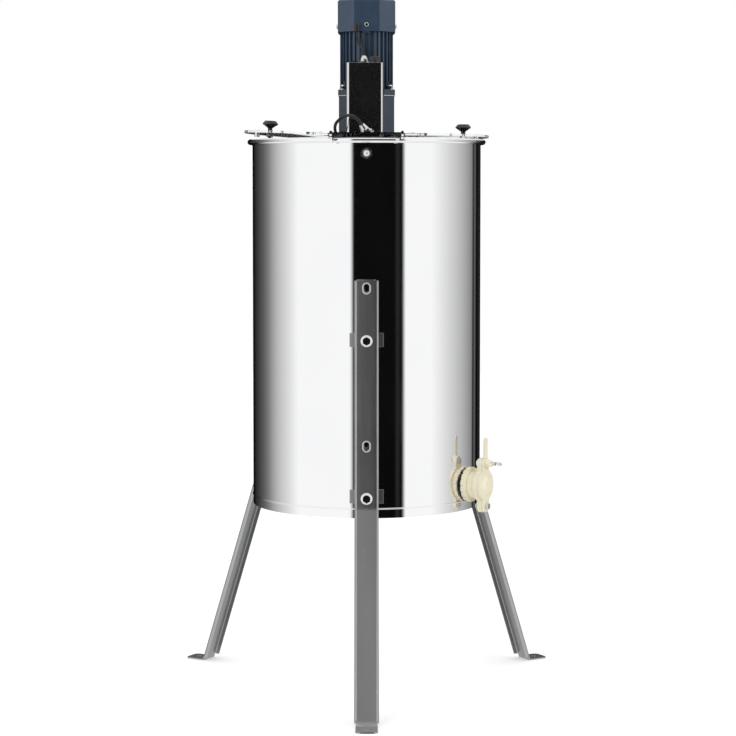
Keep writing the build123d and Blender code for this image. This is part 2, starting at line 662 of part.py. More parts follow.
def rotor_shaft():
    shaft = rod(ROTOR_SHAFT_RADIUS, MOTOR_PINION_Z + PINION_WIDTH, ROTOR_SHAFT_TOP)
    return together([shaft, gear(PINION_TEETH, MOTOR_PINION_Z, MOTOR_PINION_Z + PINION_WIDTH, 0, 0, 90)])


def rotor_core():
    return ring(ROTOR_RADIUS, ROTOR_SHAFT_RADIUS, COVER_TOP + STATOR[0], COVER_TOP + STATOR[1])


def cooling_fan():
    low = MOTOR_TOP + 6
    fan = rod(FAN_RADIUS, low, low + 2)
    fan += rod(12, low, low + 16)
    blade = bar((11, FAN_RADIUS), (-1, 1), (low, low + 24))
    for number in range(8):
        fan += turned(45 * number, blade)
    return fan - rod(ROTOR_SHAFT_RADIUS, low, low + 16)


def fan_cowl():
    inner = COWL_WIDTH - 2 * COWL_SHEET
    slope = math.degrees(math.atan(1.0))
    shell = octagon(COWL_WIDTH, COWL_CORNER, MOTOR_TOP, COWL_EDGE_TOP)
    shell = fillet(shell.edges().filter_by(Axis.Z), 3.0)
    cap = octagon(COWL_WIDTH, COWL_CORNER, COWL_EDGE_TOP, COWL_TOP, taper=slope)
    hollow = octagon(inner, COWL_CORNER - 1, MOTOR_TOP, COWL_EDGE_TOP)
    hollow_cap = octagon(inner, COWL_CORNER - 1, COWL_EDGE_TOP, COWL_TOP - COWL_SHEET, taper=slope)
    shell = (shell + cap) - hollow - hollow_cap
    for number in range(-4, 5):
        reach = math.sqrt(30.0**2 - (number * 6.0) ** 2)
        shell -= bar((-reach, reach), (number * 6 - 1.5, number * 6 + 1.5), (COWL_TOP - 3, COWL_TOP + 1))
    for azimuth in (0, 90, 180, 270):
        z = MOTOR_TOP + COWL_SCREW_Z
        shell -= turned(azimuth, beam((COWL_WIDTH / 2 - 5, 0, z), (COWL_WIDTH / 2 + 1, 0, z), 2.2))
    return shell


def cowl_screws():
    screw = bolt(2.0, COWL_SHEET + 4.5, 3.8, 2.4, six=False)
    screw = fillet(screw.edges().group_by(Axis.Z)[-1], 1.6)
    z = MOTOR_TOP + COWL_SCREW_Z
    return group(
        turned(azimuth, facing((COWL_WIDTH / 2, 0, z), (1, 0, 0), screw)) for azimuth in (0, 90, 180, 270)
    )


# ---------------------------------------------------------------- control box
def box_span(inset):
    """The control box's x and y spans, moved in by a distance."""
    half = BOX_SIZE[0] / 2 - inset
    return (BOX_X - half, BOX_X + half), (BOX_FRONT + inset, BOX_BACK - inset)


def control_box():
    x, y = box_span(0)
    shell = bar(x, y, (WEB_TOP, BOX_TOP))
    shell = fillet(shell.edges().filter_by(Axis.Z).group_by(Axis.Y)[0], BOX_CORNER)
    inner_x, inner_y = box_span(BOX_SHEET)
    room = bar(inner_x, (inner_y[0], BOX_BACK), (WEB_TOP + BOX_SHEET, BOX_TOP - BOX_SHEET))
    room = fillet(room.edges().filter_by(Axis.Z).group_by(Axis.Y)[0], BOX_CORNER - BOX_SHEET)
    shell -= room
    for place_x in BOX_SCREWS:
        shell -= rod(2.2, WEB_TOP - 1, WEB_TOP + 3, place_x, BOX_MIDDLE_Y)
    half = (SWITCH_SIZE[0] / 2 - 1.5, SWITCH_SIZE[1] / 2 - 1.5)
    shell -= bar(
        (SWITCH_AT[0] - half[0], SWITCH_AT[0] + half[0]),
        (SWITCH_AT[1] - half[1], SWITCH_AT[1] + half[1]),
        (BOX_TOP - 3, BOX_TOP + 1),
    )
    shell -= rod(3.5, BOX_TOP - 3, BOX_TOP + 1, *KNOB_AT)
    shell -= rod(5.0, BOX_TOP - 3, BOX_TOP + 1, *TOP_GLAND_AT)
    return shell


def control_box_back():
    (low_x, high_x), _ = box_span(BOX_SHEET)
    low, high = WEB_TOP + BOX_SHEET, BOX_TOP - BOX_SHEET
    plate = bar((low_x, high_x), (BOX_BACK - BOX_SHEET, BOX_BACK), (low, high))
    lip = bar((low_x, high_x), (BOX_BACK - 4, BOX_BACK - BOX_SHEET), (high - BOX_SHEET, high))
    return plate + lip


def control_box_screws():
    """Two screws up through the bridge, each with a nut inside the box."""
    screw = bolt(2.0, BRIDGE_SHEET + BOX_SHEET + 5, 3.8, 2.6, six=False)
    pieces = []
    for x in BOX_SCREWS:
        pieces.append(facing((x, BOX_MIDDLE_Y, WEB_LOW), (0, 0, -1), screw))
        pieces.append(Pos(x, BOX_MIDDLE_Y, WEB_TOP + BOX_SHEET) * nut(4.0, 2.0, 3.2))
    return group(pieces)


def speed_control_board():
    """A circuit board on the back cover, with a heat sink and the knob's potentiometer."""
    board_y = BOX_BACK - BOX_SHEET - 6
    board = bar((BOX_X - 24, BOX_X + 24), (board_y - 1.6, board_y), (WEB_TOP + 18, BOX_TOP - 34))
    sink = bar((BOX_X - 20, BOX_X + 2), (board_y - 16, board_y - 1.6), (WEB_TOP + 26, WEB_TOP + 60))
    for number in range(4):
        sink -= bar(
            (BOX_X - 17 + 5 * number, BOX_X - 15 + 5 * number), (board_y - 17, board_y - 5), (0, BOX_TOP)
        )
    posts = [
        beam((BOX_X + x, board_y, z), (BOX_X + x, BOX_BACK - BOX_SHEET, z), 3.0)
        for x in (-18, 18)
        for z in (WEB_TOP + 24, BOX_TOP - 40)
    ]
    pot = rod(8.0, BOX_TOP - BOX_SHEET - 9, BOX_TOP - BOX_SHEET, *KNOB_AT)
    pot += rod(3.0, BOX_TOP - BOX_SHEET, BOX_TOP + 8, *KNOB_AT)
    return group([together([board, sink] + posts), pot])


def switch_housing():
    half = (SWITCH_SIZE[0] / 2, SWITCH_SIZE[1] / 2)
    x, y = SWITCH_AT
    rim = bar((x - half[0], x + half[0]), (y - half[1], y + half[1]), (BOX_TOP, BOX_TOP + 2))
    rim = fillet(rim.edges().filter_by(Axis.Z), 1.5)
    inner = (half[0] - 1.5, half[1] - 1.5)
    body = rim + bar(
        (x - inner[0], x + inner[0]), (y - inner[1], y + inner[1]), (BOX_TOP - 14, BOX_TOP)
    )
    body -= bar(
        (x - inner[0] + 1, x + inner[0] - 1), (y - inner[1] + 1, y + inner[1] - 1), (BOX_TOP - 9, BOX_TOP + 3)
    )
    hinge_z = BOX_TOP - 1.0
    body += beam((x - inner[0] + 0.5, y, hinge_z), (x + inner[0] - 0.5, y, hinge_z), 1.0)
    return body


def rocker_switch():
    """A rocker on the housing's cross pin, level at rest, with a raised edge at each end."""
    x, y = SWITCH_AT
    half_x = SWITCH_SIZE[0] / 2 - 1.5 - 1 - 0.4
    half_y = SWITCH_SIZE[1] / 2 - 1.5 - 1 - 0.8
    top, low = BOX_TOP + 3.2, BOX_TOP - 4.5
    outline = make_face(Polyline(
        (0, y - half_y, top), (0, y, top - 1.4), (0, y + half_y, top),
        (0, y + half_y - 2.5, low), (0, y - half_y + 2.5, low), close=True,
    ))
    rocker = Pos(x, 0, 0) * extrude(outline, half_x, both=True)
    return rocker - beam((x - 20, y, BOX_TOP - 1.0), (x + 20, y, BOX_TOP - 1.0), 1.0 + RUNNING_GAP)


def speed_knob():
    x, y = KNOB_AT
    low = BOX_TOP + 0.6
    knob = rod(KNOB_RADIUS, low, BOX_TOP + KNOB_TALL, x, y)
    knob = chamfer(knob.edges().group_by(Axis.Z)[-1], 1.0)
    for number in range(18):
        angle = math.radians(20 * number)
        edge = (x + (KNOB_RADIUS + 0.5) * math.cos(angle), y + (KNOB_RADIUS + 0.5) * math.sin(angle))
        knob -= rod(0.9, low + 2.5, BOX_TOP + KNOB_TALL + 1, *edge)
    knob -= rod(3.0 + RUNNING_GAP, low, BOX_TOP + 8.2, x, y)
    return knob


# ---------------------------------------------------------------- cords and their fittings
def routed(points, diameter):
    """A cord's tube: straight runs, each bend as wide as its two runs allow. Prints its radii."""
    vectors = [Vector(*point) for point in points]
    radii = []
    for before, at, after in zip(vectors, vectors[1:], vectors[2:]):
        first, second = at - before, after - at
        turn = math.radians(first.get_angle(second))
        radii.append(0.45 * min(first.length, second.length) / math.tan(turn / 2))
    path = FilletPolyline(*points, radius=radii)
    section = Plane(origin=vectors[0], z_dir=vectors[1] - vectors[0]) * Circle(diameter / 2)
    tube = sweep(section, path=path)
    share = tube.volume / (math.pi * diameter**2 / 4 * path.length)
    print("cord", diameter, "length", round(path.length, 1), "volume share", round(share, 4))
    print("  radii", [round(radius, 1) for radius in radii])
    return tube


def power_cord():
    return routed(CORD_ROUTE, CORD_DIAMETER)


def motor_lead():
    return routed(LEAD_ROUTE, LEAD_DIAMETER)


# The gland on the bridge leans the way the cord leaves it.
GLAND_EXIT = Vector(*CORD_ROUTE[0])
GLAND_LEAN = (Vector(*CORD_ROUTE[1]) - GLAND_EXIT).normalized()
GLAND_BASE = (GLAND_EXIT.X - 6.0 * GLAND_LEAN.X + 6.0, GLAND_EXIT.Y + 3.0)


def bridge_cable_gland():
    """A bell-shaped gland: an upright hexagon on the bridge and a leaning bell round the cord."""
    x, y = GLAND_BASE
    foot = six_sided(10.5, WEB_TOP, WEB_TOP + 4.5, x, y)
    foot += rod(4.5, WEB_LOW - 5, WEB_TOP, x, y)
    foot += rod(8.5, WEB_TOP + 4.5, WEB_TOP + 7.0, x, y)
    bell = Plane(origin=GLAND_EXIT, z_dir=GLAND_LEAN * -1) * Cone(
        CORD_RADIUS + 2.2, 8.2, 13.0, align=UPRIGHT
    )
    bell &= bar((x - 40, x + 40), (y - 40, y + 40), (WEB_TOP + 1, WEB_TOP + 60))
    locknut = ring(8.5, 4.5, WEB_LOW - 4, WEB_LOW, x, y)
    return group([foot + bell, locknut])


def top_cable_gland():
    x, y = TOP_GLAND_AT
    body = six_sided(8.0, BOX_TOP, BOX_TOP + 3.5, x, y)
    body += rod(5.0, BOX_TOP - 6, BOX_TOP, x, y)
    collar, tip = BOX_TOP + 3.5, LEAD_ROUTE[-1][2]
    body += Pos(x, y, 0) * spun([(0, collar), (6.6, collar), (6.0, collar + 4.5), (3.2, tip), (0, tip)])
    locknut = ring(7.5, 5.0, BOX_TOP - BOX_SHEET - 3, BOX_TOP - BOX_SHEET, x, y)
    return group([body, locknut])


def lead_grommet():
    """A small elbow on the cowl's front that the motor's lead drops out of."""
    x, y, z = LEAD_ROUTE[0]
    body = bar((x - 4.5, x + 4.5), (COWL_FRONT, y - 4.5), (z, z + 13))
    body = fillet(body.edges().filter_by(Axis.Z).group_by(Axis.Y)[0], 3.5)
    return fillet(body.edges().group_by(Axis.Z)[-1].sort_by(Axis.Y)[0], 2.5)


def power_cord_coil():
    """The part of the cord that is put away, as the outer shape of its turns and its two ends."""
    x, y = COIL_CENTRE
    turns = ring(
        COIL_MEAN_RADIUS + COIL_HALF, COIL_MEAN_RADIUS - COIL_HALF, COIL_LOW, COIL_LOW + COIL_TALL, x, y
    )
    slim = CORD_RADIUS - 0.1
    first_x, last_x = x - COIL_OUTER_TURN, x + COIL_OUTER_TURN
    first = beam((first_x, STUB_START, COIL_FIRST_Z), (first_x, y, COIL_FIRST_Z), slim)
    last = beam((last_x, y, COIL_LAST_Z), (last_x, STUB_END, COIL_LAST_Z), slim)
    return together([turns, first, last])


def cord_tie():
    x, y = COIL_CENTRE
    near = y - COIL_MEAN_RADIUS
    outer = bar(
        (x - 3, x + 3),
        (near - COIL_HALF - TIE_SHEET, near + COIL_HALF + TIE_SHEET + 0.3),
        (COIL_LOW - TIE_SHEET, COIL_LOW + COIL_TALL + TIE_SHEET),
    )
    return outer - bar(
        (x - 3, x + 3), (near - COIL_HALF - 0.02, near + COIL_HALF + 0.3), (COIL_LOW, COIL_LOW + COIL_TALL)
    )


def power_plug():
    """A moulded plug with a tapered strain relief, two flat blades and a round earth pin."""
    x, y, z = COIL_CENTRE[0] + COIL_OUTER_TURN, STUB_END, COIL_LAST_Z
    half = z - WEB_TOP
    relief = facing((x, y, z), (0, 1, 0), Cone(CORD_RADIUS + 0.8, 6.0, 16.0, align=UPRIGHT))
    body = bar((x - 11, x + 11), (y + 14, y + 40), (z - half, z + half))
    body = fillet(body.edges().filter_by(Axis.Y), 6.0)
    body = chamfer(body.edges().group_by(Axis.Y)[0], 2.0)
    blades = [
        bar((x + side * 6.35 - 0.75, x + side * 6.35 + 0.75), (y + 40, y + 56), (z - 5, z + 1.5))
        for side in (-1, 1)
    ]
    earth = beam((x, y + 40, z + 5), (x, y + 58, z + 5), 2.4)
    return group([together([relief, body])] + blades + [earth])


# ---------------------------------------------------------------- lids
def hinge_places():
    return [-HINGE_AT, HINGE_AT]


def knuckle(y_low, y_high):
    """A barrel of a hinge on the right side, bored for its pin."""
    low, high = (HINGE_X, y_low, HINGE_Z), (HINGE_X, y_high, HINGE_Z)
    return beam(low, high, KNUCKLE_RADIUS), beam(low, high, HINGE_PIN + RUNNING_GAP)


def fixed_leaf(y):
    """The leaf on the bridge's flange, with the hinge's middle knuckle."""
    third = HINGE_LENGTH / 6
    plate = bar(
        (BRIDGE_HALF, BRIDGE_HALF + LEAF_SHEET), (y - HINGE_LENGTH / 2, y + HINGE_LENGTH / 2),
        (FLANGE_LOW + 8, WEB_TOP - BRIDGE_BEND),
    )
    neck = bar((BRIDGE_HALF, HINGE_X), (y - third + 0.3, y + third - 0.3), (WEB_TOP, HINGE_Z + 0.8))
    riser = bar(
        (BRIDGE_HALF, BRIDGE_HALF + LEAF_SHEET), (y - third + 0.3, y + third - 0.3),
        (WEB_TOP - BRIDGE_BEND, HINGE_Z),
    )
    barrel, hole = knuckle(y - third + 0.3, y + third - 0.3)
    return together([plate, riser, neck, barrel]) - hole


def leaf_screws(y):
    return [(LID_EDGE + LEAF_SCREW_IN, y + step) for step in (-LEAF_SCREW_STEP, LEAF_SCREW_STEP)]


def moving_leaf(y):
    """The leaf on a lid, with the hinge's two outer knuckles."""
    third = HINGE_LENGTH / 6
    half = HINGE_LENGTH / 2
    leaf = bar((LID_EDGE, LID_EDGE + LEAF_REACH), (y - half, y + half), (LID_TOP, LID_TOP + LEAF_SHEET))
    for low, high in ((y - half, y - third), (y + third, y + half)):
        barrel, hole = knuckle(low, high)
        arm = bar((HINGE_X, LID_EDGE + 1), (low, high), (LID_TOP, LID_TOP + LEAF_SHEET))
        leaf = leaf + arm + barrel - hole
    for x, screw_y in leaf_screws(y):
        leaf -= rod(LEAF_SCREW_RADIUS + 0.1, LID_TOP - 1, LID_TOP + 3, x, screw_y)
    return leaf


def lid_plate():
    """A clear half disc on the right side, with holes for its knob, stop and hinge screws."""
    plate = rod(LID_RADIUS, LID_LOW, LID_TOP) & bar((LID_EDGE, FAR), (-FAR, FAR), (LID_LOW, LID_TOP))
    plate -= rod(2.6, LID_LOW, LID_TOP, KNOB_X)
    plate -= rod(2.1, LID_LOW, LID_TOP, STOP_X)
    for y in hinge_places():
        for x, screw_y in leaf_screws(y):
            plate -= rod(LEAF_SCREW_RADIUS + 0.1, LID_LOW, LID_TOP, x, screw_y)
    return plate


def lid_knob():
    low = LID_TOP
    head = spun([
        (0, low), (4.0, low), (3.6, low + 6.5), (13.0, low + 13.0),
        (13.0, low + 14.0), (9.0, low + 18.9), (0, low + 18.9),
    ])
    stud = rod(2.5, LID_LOW - 6.5, low)
    return Pos(KNOB_X, 0, 0) * (head + stud)


def lid_screws():
    """The knob's nut, the stop screw with its rubber foot, and the hinge screws."""
    pieces = [Pos(KNOB_X, 0, LID_LOW - 4.5) * nut(5.5, 2.5, 4.5)]
    stop = bolt(2.0, LID_SHEET + 1.0, 4.0, 2.6, six=False)
    foot = rod(4.5, LID_LOW - STOP_FOOT, LID_LOW, STOP_X)
    foot -= rod(2.0, LID_LOW - 1.0, LID_LOW, STOP_X)
    pieces += [Pos(STOP_X, 0, LID_TOP) * stop, foot]
    screw = bolt(LEAF_SCREW_RADIUS, LID_SHEET + LEAF_SHEET, 2.9, 1.3, six=False)
    for y in hinge_places():
        for x, screw_y in leaf_screws(y):
            pieces.append(Pos(x, screw_y, LID_TOP + LEAF_SHEET) * screw)
    return group(pieces)


def on_left(piece):
    """A lid's piece mirrored to the left side and swung open by the lid's rest angle."""
    mirrored = mirror(piece, about=Plane.YZ)
    axis = Axis((-HINGE_X, 0, HINGE_Z), (0, 1, 0))
    return group([solid.rotate(axis, LID_AJAR) for solid in mirrored.solids()])


def both_sides(pieces):
    """Solids on the right side and their mirror images, as separate solids."""
    right = [solid for piece in pieces for solid in piece.solids()]
    left = [mirror(solid, about=Plane.YZ) for solid in right]
    return group(right + left)


def hinge_leaves_fixed():
    return both_sides(fixed_leaf(y) for y in hinge_places())


def hinge_pins():
    half = HINGE_LENGTH / 2
    return both_sides(
        beam((HINGE_X, y - half, HINGE_Z), (HINGE_X, y + half, HINGE_Z), HINGE_PIN) for y in hinge_places()
    )


# ---------------------------------------------------------------- honey gate
def at_gate(piece):
    """A gate's piece, drawn with the outlet along +X and the gate's axis at Z = 0, put in place."""
    return Pos(0, 0, GATE_Z) * Rot(0, 0, GATE_AZIMUTH) * piece


def along_gate(radius, start, end, y=0.0, z=0.0):
    return beam((start, y, z), (end, y, z), radius)


def six_along_gate(radius, start, end, y=0.0, z=0.0):
    return facing((start, y, z), (1, 0, 0), six_sided(radius, 0, end - start))


def gate_ear(low, high, x, half):
    """A rounded strap of the gate's plate or shutter, between two heights."""
    ends = [along_gate(half, x[0], x[1], 0, z) for z in (low + half, high - half)]
    return together([bar(x, (-half, half), (low + half, high - half))] + ends)


def gate_body():
    face = OUTLET_FACE
    plate = (face - 8, face)
    collar = DRUM_RADIUS + 10
    body = together([
        along_gate(NECK_RADIUS, DRUM_RADIUS - 10, collar + 1),
        along_gate(OUTLET_RADIUS, collar, face),
        along_gate(GATE_PLATE_RADIUS, *plate),
        gate_ear(-PIVOT_BELOW - 10.5, CLAMP_ABOVE + 8.5, plate, 10.0),
    ])
    body -= along_gate(NECK_BORE, 0, face)
    body -= along_gate(OUTLET_BORE, face - OUTLET_LENGTH, face)
    for z in (-PIVOT_BELOW, CLAMP_ABOVE):
        body -= along_gate(GATE_BOLT_RADIUS, face - 20, face, 0, z)
    return at_gate(body)


def gate_nuts():
    """The knurled nut outside the drum and the flat one inside it."""
    low, high = DRUM_RADIUS + 2, DRUM_RADIUS + 10
    outer = along_gate(GATE_NUT_RADIUS, low, high)
    for number in range(16):
        angle = math.radians(22.5 * number)
        y, z = (GATE_NUT_RADIUS + 1.2) * math.cos(angle), (GATE_NUT_RADIUS + 1.2) * math.sin(angle)
        outer -= along_gate(2.6, low, high, y, z)
    outer -= along_gate(NECK_RADIUS, low, high)
    inner = six_along_gate(INNER_NUT_RADIUS, DRUM_RADIUS - 10, DRUM_RADIUS - 2.8)
    inner -= along_gate(NECK_RADIUS, DRUM_RADIUS - 10, DRUM_RADIUS - 2.8)
    return at_gate(group([outer, inner]))


def gate_gasket():
    """A rubber washer that fits the drum's curve."""
    washer = along_gate(GASKET_RADIUS, DRUM_RADIUS - 5, DRUM_RADIUS + 2)
    washer -= along_gate(NECK_RADIUS, DRUM_RADIUS - 5, DRUM_RADIUS + 2)
    return at_gate(washer - rod(DRUM_RADIUS, -40, 40))


def gate_bolts():
    """The shutter's pivot bolt with its nut, and the clamp bolt that the wing nut turns on."""
    face = OUTLET_FACE
    shutter = SHUTTER_SHEET + 0.3
    pivot = bolt(GATE_BOLT_RADIUS, 8 + shutter + 7, 5.6, 4.0)
    pivot = facing((face + shutter + 0.4, 0, -PIVOT_BELOW), (1, 0, 0), pivot)
    pivot_nut = facing((face - 8 - 4.6, 0, -PIVOT_BELOW), (1, 0, 0), nut(5.6, GATE_BOLT_RADIUS, 4.6))
    clamp = bolt(GATE_BOLT_RADIUS, 8 + shutter + 16, 5.6, 4.0)
    clamp = facing((face - 8, 0, CLAMP_ABOVE), (-1, 0, 0), clamp)
    return at_gate(group([pivot, pivot_nut, clamp]))


def gate_shutter():
    """The flat closer with its handle. It swings on the pivot bolt once the wing nut is slack."""
    low, high = OUTLET_FACE + 0.3, OUTLET_FACE + 0.3 + SHUTTER_SHEET
    body = together([
        along_gate(GATE_PLATE_RADIUS - 1.5, low, high),
        gate_ear(-PIVOT_BELOW - 9.5, CLAMP_ABOVE + 8.5, (low, high), 9.5),
        bar((low + 0.35, high - 0.35), (-4.5, 4.5), (CLAMP_ABOVE + 4, HANDLE_TOP - 4.5)),
        along_gate(4.5, low + 0.35, high - 0.35, 0, HANDLE_TOP - 4.5),
    ])
    dome = facing((high, 0, 0), (1, 0, 0), Cone(17.0, 12.0, 4.5, align=UPRIGHT))
    body += fillet(dome.edges().group_by(Axis.X)[-1], 3.0)
    body -= along_gate(GATE_BOLT_RADIUS + RUNNING_GAP, low - 1, high + 1, 0, -PIVOT_BELOW)
    slot = GATE_BOLT_RADIUS + 1.0
    body -= along_gate(slot, low - 1, high + 1, 0, CLAMP_ABOVE)
    body -= bar((low - 1, high + 1), (0, 20), (CLAMP_ABOVE - slot, CLAMP_ABOVE + slot))
    return at_gate(body)


def gate_wing_nut():
    start = OUTLET_FACE + 0.3 + SHUTTER_SHEET + 0.3
    hub = along_gate(8.0, start, start + 2, 0, CLAMP_ABOVE)
    hub += facing((start + 2, 0, CLAMP_ABOVE), (1, 0, 0), Cone(6.4, 5.0, 7.0, align=UPRIGHT))
    for side in (-1, 1):
        wing = bar((start + 4, start + 9), (side * 3.0, side * 10.0), (CLAMP_ABOVE - 1.4, CLAMP_ABOVE + 1.4))
        tip = beam(
            (start + 9.5, side * 9.5, CLAMP_ABOVE - 1.4), (start + 9.5, side * 9.5, CLAMP_ABOVE + 1.4), 4.6
        )
        hub = hub + wing + tip
    return at_gate(hub - along_gate(GATE_BOLT_RADIUS + RUNNING_GAP, start - 1, start + 30, 0, CLAMP_ABOVE))


# ---------------------------------------------------------------- basket
def basket_shaft():
    return rod(SHAFT_RADIUS, SHAFT_LOW, SHAFT_JOINT_Z)


def output_shaft():
    return rod(OUTPUT_RADIUS, SHAFT_JOINT_Z, OUTPUT_GEAR_Z + GEAR_WIDTH + 4)


def shaft_coupling():
    low, high = COUPLING
    sleeve = ring(COUPLING_RADIUS, OUTPUT_RADIUS, low, high)
    return sleeve - rod(SHAFT_RADIUS, low, SHAFT_JOINT_Z)


def square_of_rails(half, low, high):
    """Four rails round the axis, between two heights."""
    outer, inner = (-half - RAIL_HALF, half + RAIL_HALF), (-half + RAIL_HALF, half - RAIL_HALF)
    return bar(outer, outer, (low, high)) - bar(inner, inner, (low, high))


def basket_frame():
    """Posts, rails and spokes, welded into one frame with a pocket on each of four sides."""
    pieces = []
    for low, high in ((BASKET_LOW, BASKET_LOW + RAIL), (BASKET_TOP - RAIL, BASKET_TOP)):
        pieces += [square_of_rails(BASKET_HALF, low, high), square_of_rails(CORE_HALF, low, high)]
        pieces.append(rod(HUB_RADIUS, low - 4, high + 4))
        for x in (-1, 1):
            pieces.append(bar((x * HUB_RADIUS * 0.8, x * CORE_HALF), (-RAIL_HALF, RAIL_HALF), (low, high)))
            pieces.append(bar((-RAIL_HALF, RAIL_HALF), (x * HUB_RADIUS * 0.8, x * CORE_HALF), (low, high)))
            for y in (-1, 1):
                across = (x * CORE_HALF - RAIL_HALF, x * CORE_HALF + RAIL_HALF)
                pieces.append(bar(across, (y * CORE_HALF, y * BASKET_HALF), (low, high)))
    low, high = BASKET_LOW, BASKET_LOW + RAIL
    for side in (-1, 1):
        pocket = (side * CORE_HALF, side * BASKET_HALF)
        for step in (-60, 0, 60):
            pieces.append(bar(pocket, (step - RAIL_HALF, step + RAIL_HALF), (low, high)))
        for step in (-40, 40):
            pieces.append(bar((step - RAIL_HALF, step + RAIL_HALF), pocket, (low, high)))
    for x in (-1, 1):
        for y in (-1, 1):
            pieces.append(rod(POST_RADIUS, BASKET_LOW, BASKET_TOP, x * BASKET_HALF, y * BASKET_HALF))
            pieces.append(rod(POST_RADIUS, BASKET_LOW, BASKET_TOP, x * CORE_HALF, y * CORE_HALF))
    return together(pieces) - rod(SHAFT_RADIUS, BASKET_LOW - 10, BASKET_TOP + 10)


def grid(plane, clear):
    """An upright wire grid on the +X side: uprights between the rails and cross wires on them."""
    low, high = BASKET_LOW + RAIL, BASKET_TOP - RAIL
    count = int((plane - clear) // WIRE_PITCH)
    places = [WIRE_PITCH * number for number in range(-count, count + 1)]
    reach = plane - clear
    wires = [rod(WIRE_RADIUS, low, high, plane, y) for y in places]
    for number in range(CROSS_WIRES):
        z = low + (high - low) * (number + 0.5) / CROSS_WIRES
        wires.append(beam((plane, -reach, z), (plane, reach, z), CROSS_WIRE_RADIUS))
    return together(wires)


def basket_grids():
    outer = grid(BASKET_HALF, POST_RADIUS)
    inner = grid(CORE_HALF, POST_RADIUS)
    return group(turned(azimuth, piece) for piece in (outer, inner) for azimuth in (0, 90, 180, 270))


# ---------------------------------------------------------------- the nodes
def nodes():
    made = {name: turned(azimuth, leg()) for name, azimuth in LEG_AZIMUTHS.items()}
    for function in (
        drum_wall, drum_bottom, bottom_bearing_cup, leg_brackets, frame_bolts, frame_nuts, bridge,
        gearbox_housing, gearbox_cover, gearbox_bushes, gearbox_bolts, layshaft_gears, output_gear,
        motor_housing, stator, motor_bearings, rotor_shaft, rotor_core, cooling_fan, fan_cowl, cowl_screws,
        control_box, control_box_back, control_box_screws, speed_control_board, switch_housing,
        rocker_switch, speed_knob, power_cord, motor_lead, bridge_cable_gland, top_cable_gland,
        lead_grommet, power_cord_coil, cord_tie, power_plug, hinge_leaves_fixed, hinge_pins,
        gate_body, gate_nuts, gate_gasket, gate_bolts, gate_shutter, gate_wing_nut,
        basket_shaft, output_shaft, shaft_coupling, basket_frame, basket_grids,
    ):
        made[function.__name__] = function()
    lid = {
        "plate": lid_plate(),
        "knob": lid_knob(),
        "hinge_leaves": group(moving_leaf(y) for y in hinge_places()),
        "screws": lid_screws(),
    }
    for name, piece in lid.items():
        made["right_lid_" + name] = piece
        made["left_lid_" + name] = on_left(piece)
    return made


os.makedirs("parts", exist_ok=True)
for name, piece in nodes().items():
    export_step(piece, f"parts/{name}.step")
    print(name, len(piece.solids()))
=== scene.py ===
"""Honey extractor: finishes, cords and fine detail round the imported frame."""
import json
import math

import bmesh
import bpy
from mathutils import Matrix, Vector


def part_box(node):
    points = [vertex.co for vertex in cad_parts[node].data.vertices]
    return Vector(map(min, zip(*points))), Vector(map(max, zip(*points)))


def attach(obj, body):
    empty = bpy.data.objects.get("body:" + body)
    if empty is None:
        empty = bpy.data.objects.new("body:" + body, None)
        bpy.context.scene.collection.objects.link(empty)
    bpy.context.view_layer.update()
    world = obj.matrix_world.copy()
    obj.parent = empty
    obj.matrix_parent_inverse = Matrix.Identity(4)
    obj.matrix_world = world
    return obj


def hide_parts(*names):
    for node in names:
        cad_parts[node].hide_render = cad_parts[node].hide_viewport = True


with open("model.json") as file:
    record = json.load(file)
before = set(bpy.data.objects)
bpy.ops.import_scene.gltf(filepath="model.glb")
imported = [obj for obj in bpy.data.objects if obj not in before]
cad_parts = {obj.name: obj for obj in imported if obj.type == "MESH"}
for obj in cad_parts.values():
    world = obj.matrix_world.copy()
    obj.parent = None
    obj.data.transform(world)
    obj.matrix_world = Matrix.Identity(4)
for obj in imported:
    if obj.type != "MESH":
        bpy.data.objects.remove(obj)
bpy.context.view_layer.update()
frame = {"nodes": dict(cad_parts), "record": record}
NODES = frame["nodes"]
MM = 0.001

# ---------------------------------------------------------------- places taken from the frame
WEB_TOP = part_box("control_box")[0].z
BOX_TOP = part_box("control_box")[1].z
PLUG_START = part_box("power_plug")[0].y
COWL_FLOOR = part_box("fan_cowl")[0].z
UP = Vector((0.0, 0.0, 1.0))

CORD_DIAMETER = 5.0 * MM
LEAD_DIAMETER = 4.2 * MM
COIL_CENTRE = Vector((0.0, 106.0 * MM, 0.0))
COIL_OUTER_TURN = 35.0 * MM
TIE_SHEET = 0.8 * MM
TIE_GAP = 0.1 * MM
COIL_FLOOR = WEB_TOP + TIE_SHEET + TIE_GAP
FIRST_LAYER = COIL_FLOOR + CORD_DIAMETER / 2
LAST_LAYER = FIRST_LAYER + CORD_DIAMETER
COIL_TURNS = 6
POINTS_PER_TURN = 16
# The share of the coil at which the cord starts to climb to its second layer, and the climb's share.
CLIMB_START = 0.46
CLIMB_SHARE = 0.08

# The power cord's points from the gland to the coil, as the frame's tube has them, in metres.
CORD_ROUTE = [
    (-0.008, -0.14, 0.931),
    (-0.0155, -0.143, 0.9428),
    (-0.0295, -0.1412, 0.947),
    (-0.042, -0.1335, 0.941),
    (-0.0495, -0.12, 0.934),
    (-0.0513, -0.103, 0.928),
    (-0.0512, -0.083, 0.923),
    (-0.0506, -0.057, 0.9204),
    (-0.05, -0.026, 0.9201),
    (-0.051, 0.008, 0.9201),
    (-0.0503, 0.032, 0.9201),
    (-0.045, 0.05, 0.9204),
    (-0.035, 0.067, 0.9209),
    (-0.035, 0.084, 0.9209),
]

